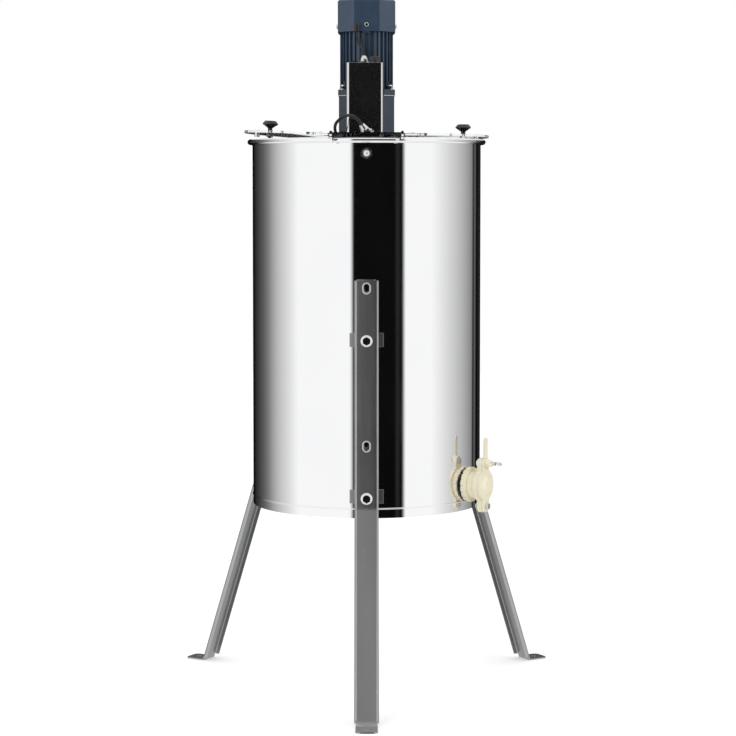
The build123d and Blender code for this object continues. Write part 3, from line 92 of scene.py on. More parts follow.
# The motor lead's points from the cowl down to the gland on the control box, in metres.
LEAD_ROUTE = [
    (-0.016, -0.0525, 1.086),
    (-0.0152, -0.0536, 1.071),
    (-0.008, -0.0604, 1.058),
    (-0.004, -0.062, 1.0455),
]


# ---------------------------------------------------------------- shader arithmetic
class Varying:
    """A number that varies over a surface. Arithmetic on it adds Math nodes."""

    def __init__(self, graph, socket):
        self.graph = graph
        self.socket = socket

    def math(self, operation, *others):
        values = {index: value for index, value in enumerate((self,) + others)}
        return self.graph.node("ShaderNodeMath", {"operation": operation}, values)

    def output(self, key):
        """Another output of the same node."""
        return Varying(self.graph, self.socket.node.outputs[key])

    def __add__(self, other):
        return self.math("ADD", other)

    def __sub__(self, other):
        return self.math("SUBTRACT", other)

    def __mul__(self, other):
        return self.math("MULTIPLY", other)

    def __truediv__(self, other):
        return self.math("DIVIDE", other)

    __radd__ = __add__

    def between(self, low, high):
        """0 below low, 1 above high and smooth between."""
        settings = {"interpolation_type": "SMOOTHSTEP"}
        return self.graph.node("ShaderNodeMapRange", settings, {0: self, 1: low, 2: high})


class Graph:
    """A node tree that is filled one node at a time."""

    def __init__(self, owner):
        owner.use_nodes = True
        self.tree = owner.node_tree
        self.tree.nodes.clear()

    def node(self, kind, settings=None, values=None, output=0):
        made = self.tree.nodes.new(kind)
        for name, value in (settings or {}).items():
            if name == "stops":
                self._set_stops(made.color_ramp, value)
            else:
                setattr(made, name, value)
        for key, value in (values or {}).items():
            if isinstance(value, Varying):
                self.tree.links.new(value.socket, made.inputs[key])
            else:
                made.inputs[key].default_value = value
        return Varying(self, made.outputs[output]) if made.outputs else None

    @staticmethod
    def _set_stops(ramp, stops):
        while len(ramp.elements) < len(stops):
            ramp.elements.new(0.5)
        for element, (place, tone) in zip(ramp.elements, stops):
            element.position = place
            element.color = (*tone, 1.0) if isinstance(tone, tuple) else (tone, tone, tone, 1.0)

    def object_point(self, scale=(1.0, 1.0, 1.0)):
        point = self.node("ShaderNodeTexCoord", output=3)
        return self.node("ShaderNodeMapping", None, {"Vector": point, "Scale": scale})

    def noise(self, scale, stretch=(1.0, 1.0, 1.0), detail=3.0, roughness=0.5):
        point = self.object_point(stretch)
        values = {"Vector": point, "Scale": scale, "Detail": detail, "Roughness": roughness}
        return self.node("ShaderNodeTexNoise", None, values)

    def cells(self, scale):
        return self.node("ShaderNodeTexVoronoi", None, {"Vector": self.object_point(), "Scale": scale})

    def blend(self, factor, first, second):
        """A colour between two, by a varying factor."""
        values = {0: factor, 6: colour(first), 7: colour(second)}
        return self.node("ShaderNodeMix", {"data_type": "RGBA"}, values, output=2)

    def bump(self, height, distance, strength=1.0):
        values = {"Height": height, "Distance": distance, "Strength": strength}
        return self.node("ShaderNodeBump", None, values)


def colour(value):
    """A plain colour with its alpha; one that varies, or has its alpha, is left as it is."""
    if isinstance(value, Varying) or len(value) == 4:
        return value
    return (*value, 1.0)


def surface(name, build, **fixed):
    """A material whose shader takes what varies from build(graph) and the rest as plain values."""
    material = bpy.data.materials.new(name)
    graph = Graph(material)
    values = {key.replace("_", " "): value for key, value in fixed.items()}
    for key, value in build(graph).items():
        values[key] = colour(value) if key == "Base Color" else value
    shader = graph.node("ShaderNodeBsdfPrincipled", None, values)
    graph.node("ShaderNodeOutputMaterial", None, {"Surface": shader})
    return material


# ---------------------------------------------------------------- finishes
# The heights between which the motor's paint goes from painted shade to its unshaded colour.
SHADE_LOW = COWL_FLOOR - 0.11
SHADE_HIGH = COWL_FLOOR + 0.01


def polished_steel():
    """Mirror polished sheet: faint polishing lines round the drum and a slight waviness."""
    def build(graph):
        lines = graph.noise(60.0, (1.0, 1.0, 14.0), 4.0)
        smudge = graph.noise(7.0, detail=5.0)
        wave = graph.noise(3.0, (1.0, 1.0, 0.35), 1.0)
        return {
            "Base Color": graph.blend(smudge, (0.90, 0.905, 0.92), (0.95, 0.95, 0.95)),
            "Roughness": 0.035 + smudge.between(0.45, 0.75) * 0.03 + lines * 0.02,
            "Normal": graph.bump(wave + lines * 0.01, 0.0006, 0.5),
        }
    return surface("polished_steel", build, Metallic=1.0)


def plate_steel():
    """Bright rolled plate for the bridge and its fittings."""
    def build(graph):
        lines = graph.noise(220.0, (1.0, 0.06, 1.0), 3.0)
        smudge = graph.noise(18.0, detail=4.0)
        return {
            "Base Color": graph.blend(smudge, (0.74, 0.75, 0.77), (0.84, 0.84, 0.85)),
            "Roughness": 0.07 + lines * 0.06 + smudge.between(0.5, 0.8) * 0.05,
            "Normal": graph.bump(lines, 0.00002),
        }
    return surface("bridge_steel", build, Metallic=1.0)


def box_steel():
    """Smooth bright sheet with a slight waviness, for the control box."""
    def build(graph):
        smudge = graph.noise(22.0, detail=5.0)
        wave = graph.noise(16.0, detail=1.0)
        return {
            "Base Color": graph.blend(smudge, (0.66, 0.66, 0.66), (0.78, 0.78, 0.77)),
            "Roughness": 0.05 + smudge.between(0.45, 0.75) * 0.05,
            "Normal": graph.bump(wave, 0.0004, 0.4),
        }
    return surface("box_steel", build, Metallic=0.99)


def leg_steel():
    """Brushed channel, with the grain along the leg and a few deeper scratches."""
    def build(graph):
        grain = graph.noise(900.0, (1.0, 1.0, 0.012), 3.0, 0.6)
        scratch = graph.noise(260.0, (1.0, 1.0, 0.02), 2.0).between(0.66, 0.74)
        patch = graph.noise(9.0, detail=4.0)
        tone = graph.blend(patch, (0.38, 0.39, 0.39), (0.48, 0.48, 0.475))
        return {
            "Base Color": graph.blend(scratch * 0.35, tone, (0.66, 0.66, 0.66)),
            "Roughness": 0.24 + grain * 0.16 + patch * 0.05,
            "Normal": graph.bump(grain + scratch * 0.4, 0.00003),
        }
    return surface("leg_steel", build, Metallic=1.0, Coat_Weight=0.5, Coat_Roughness=0.05)


def bolt_steel():
    """Bright turned fasteners with dull patches."""
    def build(graph):
        turned = graph.noise(700.0, detail=2.0)
        dull = graph.noise(120.0, detail=4.0)
        return {
            "Base Color": graph.blend(dull, (0.74, 0.74, 0.75), (0.90, 0.90, 0.90)),
            "Roughness": 0.08 + dull * 0.10,
            "Normal": graph.bump(turned, 0.00001),
        }
    return surface("bolt_steel", build, Metallic=1.0)


def basket_steel():
    """Drawn wire and bar: satin, with darker heat tint that comes and goes."""
    def build(graph):
        tint = graph.noise(30.0, detail=4.0).between(0.55, 0.75)
        grain = graph.noise(600.0, (1.0, 1.0, 0.05), 2.0)
        return {
            "Base Color": graph.blend(tint * 0.5, (0.70, 0.71, 0.73), (0.52, 0.47, 0.40)),
            "Roughness": 0.2 + grain * 0.12 + tint * 0.1,
            "Normal": graph.bump(grain, 0.00003),
        }
    return surface("basket_steel", build, Metallic=1.0)


def machined(name, tone, dark, rough):
    """Turned metal: fine rings across its height and stains."""
    def build(graph):
        rings = graph.noise(1500.0, (0.2, 0.2, 1.0), 2.0)
        stain = graph.noise(60.0, detail=4.0)
        return {
            "Base Color": graph.blend(stain, tone, dark),
            "Roughness": rough + rings * 0.12,
            "Normal": graph.bump(rings, 0.00002),
        }
    return surface(name, build, Metallic=1.0)


def motor_paint():
    """Dark blue enamel over cast metal: orange peel, worn bright spots, and painted shade that darkens it
    low down.
    """
    def build(graph):
        place = graph.node("ShaderNodeTexCoord", output=3)
        height = graph.node("ShaderNodeSeparateXYZ", None, {0: place}, output=2)
        # Painted shade: below the cowl the paint is mixed up to 45% towards near black, more the lower it
        # is.
        shade = 0.55 + height.between(SHADE_LOW, SHADE_HIGH) * 0.45
        peel = graph.noise(420.0, detail=2.0)
        cast = graph.noise(70.0, detail=5.0)
        worn = graph.noise(38.0, detail=6.0, roughness=0.65).between(0.70, 0.78)
        unshaded_paint = graph.blend(cast, (0.020, 0.040, 0.075), (0.036, 0.066, 0.112))
        tone = graph.blend(shade, (0.004, 0.010, 0.018), unshaded_paint)
        return {
            "Base Color": graph.blend(worn * 0.3, tone, (0.10, 0.14, 0.19)),
            "Roughness": 0.26 + cast * 0.14 + worn * 0.1,
            "Normal": graph.bump(peel * 0.5 + cast, 0.00012),
        }
    return surface("motor_paint", build, Coat_Weight=0.35, Coat_Roughness=0.12)


def moulded(name, tone, pale, rough, coat=0.0):
    """Moulded plastic with a fine spark-eroded grain and slight handling shine."""
    def build(graph):
        fine = graph.noise(1400.0, detail=2.0)
        shine = graph.noise(45.0, detail=4.0)
        return {
            "Base Color": graph.blend(shine, tone, pale),
            "Roughness": rough + fine * 0.1 - shine * 0.08,
            "Normal": graph.bump(fine, 0.00003),
        }
    return surface(name, build, Coat_Weight=coat, Coat_Roughness=0.15)


def gate_plastic():
    """Cream moulded nylon: soft flow clouds, a waxy sheen and a faint grain."""
    def build(graph):
        cloud = graph.noise(28.0, detail=4.0)
        fine = graph.noise(900.0, detail=2.0)
        honey = graph.noise(14.0, detail=5.0).between(0.6, 0.8)
        tone = graph.blend(cloud, (0.86, 0.79, 0.58), (0.92, 0.87, 0.70))
        return {
            "Base Color": graph.blend(honey * 0.35, tone, (0.82, 0.70, 0.44)),
            "Roughness": 0.34 + fine * 0.08 + cloud * 0.06,
            "Normal": graph.bump(fine + cloud * 2.0, 0.00004),
        }
    return surface(
        "gate_plastic", build, Coat_Weight=0.15, Coat_Roughness=0.2,
        Subsurface_Weight=0.12, Subsurface_Scale=0.004,
    )


def rubber(name, tone):
    """Matt rubber with a fine grain and dust."""
    def build(graph):
        fine = graph.noise(1800.0, detail=2.0)
        dust = graph.noise(60.0, detail=5.0).between(0.5, 0.8)
        return {
            "Base Color": graph.blend(dust, tone, tuple(channel + 0.02 for channel in tone)),
            "Roughness": 0.42 + fine * 0.14 + dust * 0.08,
            "Normal": graph.bump(fine, 0.00003),
        }
    return surface(name, build)


def clear_sheet():
    """Clear acrylic with faint wiping marks."""
    def build(graph):
        wipe = graph.noise(40.0, (1.0, 0.15, 1.0), 4.0).between(0.55, 0.8)
        return {
            "Base Color": graph.blend(wipe, (0.985, 0.995, 0.995), (0.93, 0.96, 0.97)),
            "Roughness": 0.015 + wipe * 0.04,
            "Normal": graph.bump(wipe, 0.00001),
        }
    return surface("clear_sheet", build, Transmission_Weight=1.0, IOR=1.49)


def board_green():
    """Lacquered circuit board with blotches of copper underneath."""
    def build(graph):
        tracks = graph.cells(260.0).between(0.25, 0.4)
        return {
            "Base Color": graph.blend(tracks, (0.02, 0.16, 0.06), (0.05, 0.30, 0.12)),
            "Roughness": 0.35 + tracks * 0.2,
            "Normal": graph.bump(tracks, 0.00005),
        }
    return surface("board_green", build)


def stator_copper():
    """Lacquered copper windings, banded like laid wire."""
    def build(graph):
        point = graph.object_point()
        values = {"Vector": point, "Scale": 260.0, "Distortion": 1.5, "Detail": 2.0}
        wires = graph.node("ShaderNodeTexWave", {"bands_direction": "Z"}, values, output=1)
        return {
            "Base Color": graph.blend(wires, (0.30, 0.12, 0.05), (0.75, 0.36, 0.17)),
            "Roughness": 0.3 + wires * 0.15,
            "Normal": graph.bump(wires, 0.0002),
        }
    return surface("stator_copper", build, Metallic=1.0)


SLOT_OF = {part["node"]: part["material_slot"] for part in frame["record"]["subparts"]}
BODIES = frame["record"]["behaviour"]["bodies"]
BODY_OF = {node: body for body, nodes in BODIES.items() for node in nodes}

FINISHES = {
    "polished_steel": polished_steel(),
    "bridge_steel": plate_steel(),
    "box_steel": box_steel(),
    "leg_steel": leg_steel(),
    "bolt_steel": bolt_steel(),
    "basket_steel": basket_steel(),
    "shaft_steel": machined("shaft_steel", (0.50, 0.50, 0.52), (0.38, 0.38, 0.40), 0.18),
    "rotor_steel": machined("rotor_steel", (0.42, 0.42, 0.43), (0.30, 0.29, 0.28), 0.3),
    "bronze": machined("bronze", (0.62, 0.42, 0.20), (0.45, 0.28, 0.12), 0.3),
    "gland_metal": machined("gland_metal", (0.82, 0.81, 0.79), (0.66, 0.66, 0.66), 0.1),
    "motor_paint": motor_paint(),
    "stator_copper": stator_copper(),
    "fan_plastic": moulded("fan_plastic", (0.10, 0.10, 0.10), (0.16, 0.16, 0.16), 0.45),
    "board_green": board_green(),
    "black_plastic": moulded("black_plastic", (0.012, 0.012, 0.013), (0.026, 0.026, 0.028), 0.32, coat=0.2),
    "cord_rubber": rubber("cord_rubber", (0.012, 0.012, 0.012)),
    "gate_plastic": gate_plastic(),
    "clear_sheet": clear_sheet(),
}


def dress_frame():
    """Gives each node of the frame the finish of its slot."""
    for node, finish in SLOT_OF.items():
        piece = NODES[node]
        if not piece.data.materials:
            piece.data.materials.append(None)
        for slot in piece.material_slots:
            slot.material = FINISHES[finish]


# ---------------------------------------------------------------- making pieces
SHARP_ANGLE = math.radians(35)
FLAT_ANGLE = math.radians(1.0)
ROUNDED_ANGLE = math.radians(32)
MERGE_DISTANCE = 1e-6


def placed(name, data, finish, body="drum"):
    """An object of the scene with its finish, riding on a body."""
    data.materials.append(FINISHES[finish])
    piece = bpy.data.objects.new(name, data)
    bpy.context.scene.collection.objects.link(piece)
    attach(piece, body)
    return piece


def finished(name, shape, finish, body="drum"):
    """A piece from a bmesh, with smooth faces and sharp corners."""
    mesh = bpy.data.meshes.new(name)
    bmesh.ops.recalc_face_normals(shape, faces=shape.faces)
    for face in shape.faces:
        face.smooth = True
    shape.to_mesh(mesh)
    shape.free()
    mesh.set_sharp_from_angle(angle=SHARP_ANGLE)
    return placed(name, mesh, finish, body)


def round_line(name, radius, roundness):
    """Curve data with a round section."""
    data = bpy.data.curves.new(name, "CURVE")
    data.dimensions = "3D"
    data.bevel_depth = radius
    data.bevel_resolution = roundness
    return data


def level(azimuth):
    """The level direction at an angle round the drum, in degrees from +X."""
    turn = math.radians(azimuth)
    return Vector((math.cos(turn), math.sin(turn), 0.0))


def standing(place, direction):
    """The matrix that puts +Z along a direction from a place."""
    return Matrix.Translation(place) @ Vector(direction).to_track_quat("Z", "Y").to_matrix().to_4x4()


def lathed(name, outline, place, direction, finish, steps=48):
    """A piece turned from its (radius, height) outline, both in millimetres."""
    shape = bmesh.new()
    corners = [shape.verts.new((radius * MM, 0.0, height * MM)) for radius, height in outline]
    edges = [shape.edges.new(pair) for pair in zip(corners, corners[1:])]
    bmesh.ops.spin(
        shape, geom=corners + edges, axis=(0.0, 0.0, 1.0), cent=(0.0, 0.0, 0.0), steps=steps,
        angle=2 * math.pi, use_merge=True,
    )
    bmesh.ops.remove_doubles(shape, verts=shape.verts, dist=MERGE_DISTANCE)
    bmesh.ops.transform(shape, matrix=standing(place, direction), verts=shape.verts)
    return finished(name, shape, finish)


def softened(node, width):
    """The frame's piece with its sharp edges rounded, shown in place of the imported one."""
    shape = bmesh.new()
    shape.from_mesh(NODES[node].data)
    bmesh.ops.remove_doubles(shape, verts=shape.verts, dist=MERGE_DISTANCE)
    bmesh.ops.dissolve_limit(
        shape, angle_limit=FLAT_ANGLE, verts=shape.verts, edges=shape.edges,
        use_dissolve_boundaries=False, delimit=set(),
    )
    piece = finished(f"{node}_soft", shape, SLOT_OF[node], BODY_OF[node])
    rounding = piece.modifiers.new("rounding", "BEVEL")
    rounding.limit_method = "ANGLE"
    rounding.angle_limit = ROUNDED_ANGLE
    rounding.width = width * MM
    rounding.segments = 2
    rounding.use_clamp_overlap = True
    rounding.harden_normals = True
    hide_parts(node)


def thread(name, radius, pitch, length, place, direction, finish):
    """A screw thread round a bolt's end: a crest that climbs one pitch each turn."""
    around = 20
    depth = 0.6 * pitch
    count = int(length / pitch) * around
    shape = bmesh.new()

    def line(distance, lift, number):
        points = []
        for step in range(number):
            angle = 2 * math.pi * step / around
            x = distance * MM * math.cos(angle)
            y = distance * MM * math.sin(angle)
            z = (pitch * step / around + lift) * MM
            points.append(shape.verts.new((x, y, z)))
        return points

    roots = line(radius - depth, 0.0, count + 1)
    crests = line(radius, pitch / 2, count + 1 - around)
    for step in range(count - around):
        above = step + around
        shape.faces.new((roots[step], crests[step], crests[step + 1], roots[step + 1]))
        shape.faces.new((crests[step], roots[above], roots[above + 1], crests[step + 1]))
    bmesh.ops.transform(shape, matrix=standing(place, direction), verts=shape.verts)
    finished(name, shape, finish)


# ---------------------------------------------------------------- rounded edges of the frame's pieces
# Each node that is softened, with the width of its rounding in millimetres.
SOFT_EDGES = {
    "frame_bolts": 0.7, "frame_nuts": 0.5, "gearbox_bolts": 0.6, "control_box": 1.3, "bridge": 0.6,
    "leg_front": 0.5, "leg_right": 0.5, "leg_left": 0.5, "leg_brackets": 0.6, "gearbox_housing": 1.5,
    "gearbox_cover": 1.0, "fan_cowl": 1.2, "gate_body": 1.2, "gate_nuts": 0.9, "gate_shutter": 1.2,
    "gate_wing_nut": 0.8, "left_lid_knob": 1.0, "right_lid_knob": 1.0, "left_lid_plate": 0.7,
    "right_lid_plate": 0.7, "speed_knob": 0.4, "switch_housing": 0.5, "rocker_switch": 0.4,
    "power_plug": 0.6, "hinge_leaves_fixed": 0.3, "left_lid_hinge_leaves": 0.3,
    "right_lid_hinge_leaves": 0.3, "gate_bolts": 0.5, "lead_grommet": 0.5, "cowl_screws": 0.3,
    "control_box_back": 0.5, "basket_frame": 0.5,
}


# ---------------------------------------------------------------- small pieces
LEG_FACE = 215.0 * MM
LEG_ANGLES = (-90.0, 30.0, 150.0)
BOLTED_SLOTS = (339.0 * MM, 589.0 * MM)
OPEN_SLOTS = (422.0 * MM, 672.0 * MM)
SLOT_HALF_WIDTH = 4.5 * MM
SLOT_STRAIGHT = 2.5 * MM
RIM_RADIUS = 1.2 * MM
RIM_TURN = SLOT_HALF_WIDTH + 1.3 * MM
RIM_LIFT = 0.1 * MM
RIM_POINTS = 32

GASKET_INSET = 0.5 * MM
GASKET_CORNER = 18.0 * MM
GASKET_DROP = 1.1 * MM
GASKET_SHEET = 1.0 * MM

CAP_X = 38.5
CAP_Y = 26.0
COLLAR_X = -4.0 * MM
COLLAR_Y = -62.0 * MM
COLLAR_LIFT = 3.6 * MM

RIB_COUNT = 5
RIB_FIRST = 2.0
RIB_STEP = 2.6
SLEEVE_RADIUS = 3.3
SLEEVE_WIDENING = 2.7
SLEEVE_LENGTH = 16.0

# The tie's buckle and its tail, as (wide, deep, tall, distance behind the tie's front), in millimetres.
TIE_BLOCKS = ((5.76, 5.4, 4.0, 5.9), (3.84, 7.0, 0.9, 11.0))
TIE_SUNK = 0.3
TIE_ROUNDING = 0.5 * MM

GATE_WAY = level(-30.0)
CLAMP_START = 245.5 * MM
CLAMP_HEIGHT = 382.0 * MM


def slot_rims():
    """Rolled lips round the legs' open slots."""
    data = round_line("slot_rims", RIM_RADIUS, 4)
    for azimuth in LEG_ANGLES:
        outward = level(azimuth)
        across = Vector((-outward.y, outward.x, 0.0))
        for height in OPEN_SLOTS:
            middle = outward * (LEG_FACE + RIM_LIFT) + UP * height
            line = data.splines.new("POLY")
            line.points.add(RIM_POINTS - 1)
            line.use_cyclic_u = True
            for step, point in enumerate(line.points):
                angle = 2 * math.pi * (step + 0.5) / RIM_POINTS
                straight = math.copysign(SLOT_STRAIGHT, math.sin(angle))
                rise = straight + RIM_TURN * math.sin(angle)
                place = middle + across * RIM_TURN * math.cos(angle) + UP * rise
                point.co = (*place, 1.0)
    placed("slot_rims", data, "bolt_steel")


def leg_washers():
    """Conical washers under the leg bolts, smoothed over the bolts' flanges."""
    outline = [(6.2, 0.2), (9.2, 0.05), (9.5, 0.5), (9.3, 1.1), (6.2, 2.8), (6.0, 2.0)]
    for number, azimuth in enumerate(LEG_ANGLES):
        outward = level(azimuth)
        for height in BOLTED_SLOTS:
            name = f"leg_washer_{number}_{round(height / MM)}"
            place = outward * LEG_FACE + UP * height
            lathed(name, outline, place, outward, "bolt_steel", steps=32)


def gearbox_gasket():
    """A bright shim between the gearbox and its cover, with the cover's eight-sided outline."""
    low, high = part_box("gearbox_cover")
    half = (high.x - low.x) / 2 - GASKET_INSET
    inner = half - GASKET_CORNER
    outline = [
        (half, -inner), (half, inner), (inner, half), (-inner, half),
        (-half, inner), (-half, -inner), (-inner, -half), (inner, -half),
    ]
    shape = bmesh.new()
    face = shape.faces.new([shape.verts.new((x, y, low.z - GASKET_DROP)) for x, y in outline])
    raised = bmesh.ops.extrude_face_region(shape, geom=[face])
    lifted = [item for item in raised["geom"] if isinstance(item, bmesh.types.BMVert)]
    bmesh.ops.translate(shape, verts=lifted, vec=(0.0, 0.0, GASKET_SHEET))
    finished("gearbox_gasket", shape, "gland_metal")


def plug_ribs():
    """Grip rings on the plug's strain relief."""
    x = COIL_CENTRE.x + COIL_OUTER_TURN
    rings = []
    for number in range(RIB_COUNT):
        along = RIB_FIRST + RIB_STEP * number
        radius = SLEEVE_RADIUS + SLEEVE_WIDENING * along / SLEEVE_LENGTH
        outline = [
            (radius - 0.4, 0.0), (radius + 0.7, 0.3), (radius + 0.9, 0.9), (radius + 0.7, 1.4),
            (radius - 0.4, 1.7),
        ]
        place = (x, PLUG_START + along * MM, LAST_LAYER)
        ring = lathed(f"plug_rib_{number}", outline, place, (0.0, 1.0, 0.0), "black_plastic", steps=28)
        rings.append(ring)
    return rings


def tie_head():
    """The tie's buckle on top of the coil, and its cut tail."""
    low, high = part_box("cord_tie")
    shape = bmesh.new()
    for wide, deep, tall, behind in TIE_BLOCKS:
        made = bmesh.ops.create_cube(shape, size=1.0)
        bmesh.ops.scale(shape, vec=(wide * MM, deep * MM, tall * MM), verts=made["verts"])
        middle = ((low.x + high.x) / 2, low.y + behind * MM, high.z + (tall / 2 - TIE_SUNK) * MM)
        bmesh.ops.translate(shape, vec=middle, verts=made["verts"])
    bmesh.ops.bevel(
        shape, geom=shape.edges[:], offset=TIE_ROUNDING, segments=2, profile=0.5, affect="EDGES",
        material=-1,
    )
    return finished("tie_head", shape, "black_plastic")


def gland_collar():
    """A ribbed compression collar round the top gland."""
    outline = [(5.9, 0.0), (6.9, 0.4), (6.9, 1.3), (6.3, 1.7), (6.9, 2.1), (6.9, 3.0), (5.9, 3.4)]
    place = (COLLAR_X, COLLAR_Y, BOX_TOP + COLLAR_LIFT)
    lathed("gland_collar", outline, place, UP, "gland_metal")


def gearbox_caps():
    """Domed tops on the four cover bolts."""
    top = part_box("gearbox_bolts")[1].z
    outline = [(0.0, 2.6), (2.4, 2.3), (4.2, 1.4), (5.1, 0.1), (5.1, -0.5), (0.0, -0.5)]
    for x in (-CAP_X, CAP_X):
        for y in (-CAP_Y, CAP_Y):
            name = f"gearbox_cap_{x:.0f}_{y:.0f}"
            lathed(name, outline, (x * MM, y * MM, top), UP, "bolt_steel", steps=32)


def clamp_thread():
    """The thread on the end of the gate's clamp bolt."""
    place = GATE_WAY * CLAMP_START + UP * CLAMP_HEIGHT
    thread("clamp_thread", 3.15, 1.0, 7.0, place, GATE_WAY, "bolt_steel")


# ---------------------------------------------------------------- cords
def spline_piece(name, points, diameter):
    """A round cord on a smooth line through its route's corners."""
    data = round_line(name, diameter / 2, 5)
    data.resolution_u = 10
    data.use_fill_caps = True
    line = data.splines.new("NURBS")
    line.points.add(len(points) - 1)
    for point, place in zip(line.points, points):
        point.co = (*place, 1.0)
    line.order_u = 3
    line.use_endpoint_u = True
    return placed(name, data, "cord_rubber")


def coil_points():
    """Six turns in two layers of three, from the outer turn in and back out again."""
    points = []
    inner_turn = COIL_OUTER_TURN - 2 * CORD_DIAMETER
    total = COIL_TURNS * POINTS_PER_TURN
    for number in range(1, total + 1):
        share = number / total
        angle = math.pi - 2 * math.pi * COIL_TURNS * share + math.pi * share
        radius = inner_turn + (COIL_OUTER_TURN - inner_turn) * abs(1 - 2 * share)
        climb = min(1.0, max(0.0, (share - CLIMB_START) / CLIMB_SHARE))
        x = COIL_CENTRE.x + radius * math.cos(angle)
        y = COIL_CENTRE.y + radius * math.sin(angle)
        points.append((x, y, FIRST_LAYER + (LAST_LAYER - FIRST_LAYER) * climb))
    return points


def power_cord():
    """The mains cord: over its arch, along the bridge, round its coil and into the plug."""
    x = COIL_CENTRE.x + COIL_OUTER_TURN
    points = CORD_ROUTE + coil_points()
    points.append((x, COIL_CENTRE.y + 0.4 * (PLUG_START - COIL_CENTRE.y), LAST_LAYER))
    points.append((x, PLUG_START, LAST_LAYER))
    cord = spline_piece("power_cord_line", points, CORD_DIAMETER)
    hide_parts("power_cord", "power_cord_coil")
    return cord


def motor_lead():
    """The short lead from the motor's cowl to the gland on the control box."""
    lead = spline_piece("motor_lead_line", LEAD_ROUTE, LEAD_DIAMETER)
    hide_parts("motor_lead")


# ---------------------------------------------------------------- camera, lights and floor
CAMERA_PLACE = (0.0, -3.562, 0.8316)
CAMERA_DOWN = 3.285


def camera():
    """The camera in front of the drum, looking slightly down."""
    data = bpy.data.cameras.new("camera")
    data.lens = 104.24
    data.sensor_width = 36.0
    data.shift_x = 0.00197
    data.shift_y = -0.08
    data.clip_end = 50.0
    eye = bpy.data.objects.new("camera", data)
    eye.location = CAMERA_PLACE
    eye.rotation_euler = (math.radians(90.0 - CAMERA_DOWN), 0.0, 0.0)
    bpy.context.scene.collection.objects.link(eye)
    bpy.context.scene.camera = eye


# What the polished steel reflects, by the angle round the room from the camera's side, positive
# to the right, as (degrees, brightness).
ROOM = [
    (-180, 0.0), (-160, 0.003), (-140, 0.05), (-127, 0.11), (-117, 0.21), (-100, 0.53), (-85, 0.76),
    (-72, 1.0), (-16, 1.0), (-13, 0.003), (28, 0.003), (30, 0.02), (32, 0.02), (34, 0.003), (36, 0.003),
    (39, 1.0), (68, 1.0), (90, 0.72), (132, 0.25), (136, 0.0), (141, 0.12), (146, 0.0),
    (160, 0.02), (180, 0.0),
]
OVERHEAD = 0.9

# The lamps, as (name, place, size, power).
LAMPS = [("key", (-1.6, -2.4, 2.4), 1.6, 14.0), ("fill", (2.2, -1.6, 1.4), 1.8, 8.0)]
LAMP_TARGET = Vector((0.0, 0.0, 0.6))

FLOOR_RADIUS = 6.0
FLOOR_DROP = 0.0005
FLOOR_GLOW = 0.3


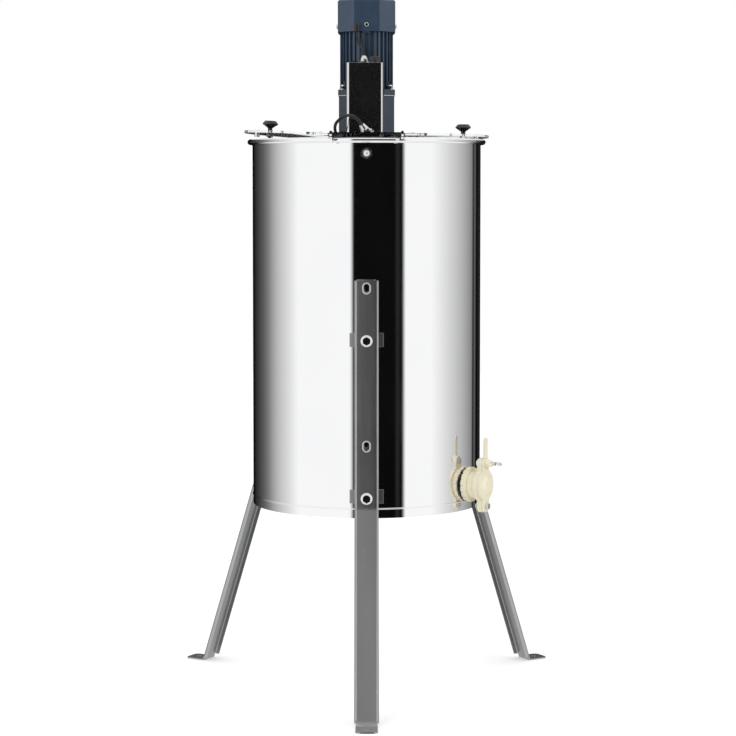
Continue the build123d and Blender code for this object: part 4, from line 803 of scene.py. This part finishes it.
def room_light():
    """White to the camera, a studio of dark and white panels to the steel, plain light to the rest."""
    world = bpy.data.worlds.new("room")
    bpy.context.scene.world = world
    graph = Graph(world)
    way = graph.node("ShaderNodeTexCoord")
    across = graph.node("ShaderNodeSeparateXYZ", None, {0: way})
    along = across.output(1)
    rise = across.output(2)
    turn = across.math("ARCTAN2", along * -1.0) / (2 * math.pi) + 0.5
    stops = [((angle + 180.0) / 360.0, tone) for angle, tone in ROOM]
    round_room = graph.node("ShaderNodeValToRGB", {"stops": stops}, {0: turn})
    above = rise.between(0.35, 0.6).math("MAXIMUM", (rise * -1.0).between(0.35, 0.6))
    panels = graph.blend(above, round_room, (OVERHEAD, OVERHEAD, OVERHEAD))
    path = graph.node("ShaderNodeLightPath")
    seen = path.output("Is Camera Ray")
    mirrored = path.output("Is Glossy Ray")
    through = path.output("Is Transmission Ray")
    lit = graph.node("ShaderNodeBackground", None, {0: (0.9, 0.9, 0.9, 1.0), 1: 1.0})
    studio = graph.node("ShaderNodeBackground", None, {0: panels, 1: 1.0})
    white = graph.node("ShaderNodeBackground", None, {0: (1.0, 1.0, 1.0, 1.0), 1: 1.0})
    first = graph.node("ShaderNodeMixShader", None, {0: mirrored, 1: lit, 2: studio})
    plain = seen.math("MAXIMUM", through)
    last = graph.node("ShaderNodeMixShader", None, {0: plain, 1: first, 2: white})
    graph.node("ShaderNodeOutputWorld", None, {0: last})


def lamp(name, place, size, power):
    """A round lamp turned to the drum, left out of the steel's reflections."""
    data = bpy.data.lights.new(name, "AREA")
    data.shape = "DISK"
    data.size = size
    data.energy = power
    light = bpy.data.objects.new(name, data)
    light.location = place
    light.rotation_euler = (LAMP_TARGET - Vector(place)).to_track_quat("-Z", "Y").to_euler()
    light.visible_glossy = False
    bpy.context.scene.collection.objects.link(light)


def floor():
    """A matt pale floor that glows a little to the camera."""
    mesh = bpy.data.meshes.new("floor")
    shape = bmesh.new()
    bmesh.ops.create_circle(shape, cap_ends=True, segments=64, radius=FLOOR_RADIUS)
    bmesh.ops.translate(shape, verts=shape.verts, vec=(0.0, 0.0, -FLOOR_DROP))
    shape.to_mesh(mesh)
    shape.free()
    piece = bpy.data.objects.new("floor", mesh)
    bpy.context.scene.collection.objects.link(piece)
    material = bpy.data.materials.new("floor")
    graph = Graph(material)
    seen = graph.node("ShaderNodeLightPath")
    matt = graph.node("ShaderNodeBsdfDiffuse", None, {0: (0.86, 0.86, 0.86, 1.0)})
    glow = graph.node("ShaderNodeEmission", None, {0: (1.0, 1.0, 1.0, 1.0), 1: seen * FLOOR_GLOW})
    both = graph.node("ShaderNodeAddShader", None, {0: matt, 1: glow})
    graph.node("ShaderNodeOutputMaterial", None, {0: both})
    mesh.materials.append(material)
    piece.visible_glossy = False


# ---------------------------------------------------------------- build
bpy.context.scene.view_settings.view_transform = "Standard"
camera()
room_light()
for lamp_name, lamp_place, lamp_size, lamp_power in LAMPS:
    lamp(lamp_name, lamp_place, lamp_size, lamp_power)
floor()
dress_frame()
for soft_node, edge_width in SOFT_EDGES.items():
    softened(soft_node, edge_width)
slot_rims()
leg_washers()
gearbox_gasket()
gearbox_caps()
gland_collar()
clamp_thread()
buckle = tie_head()
ribs = plug_ribs()
cord = power_cord()
motor_lead()
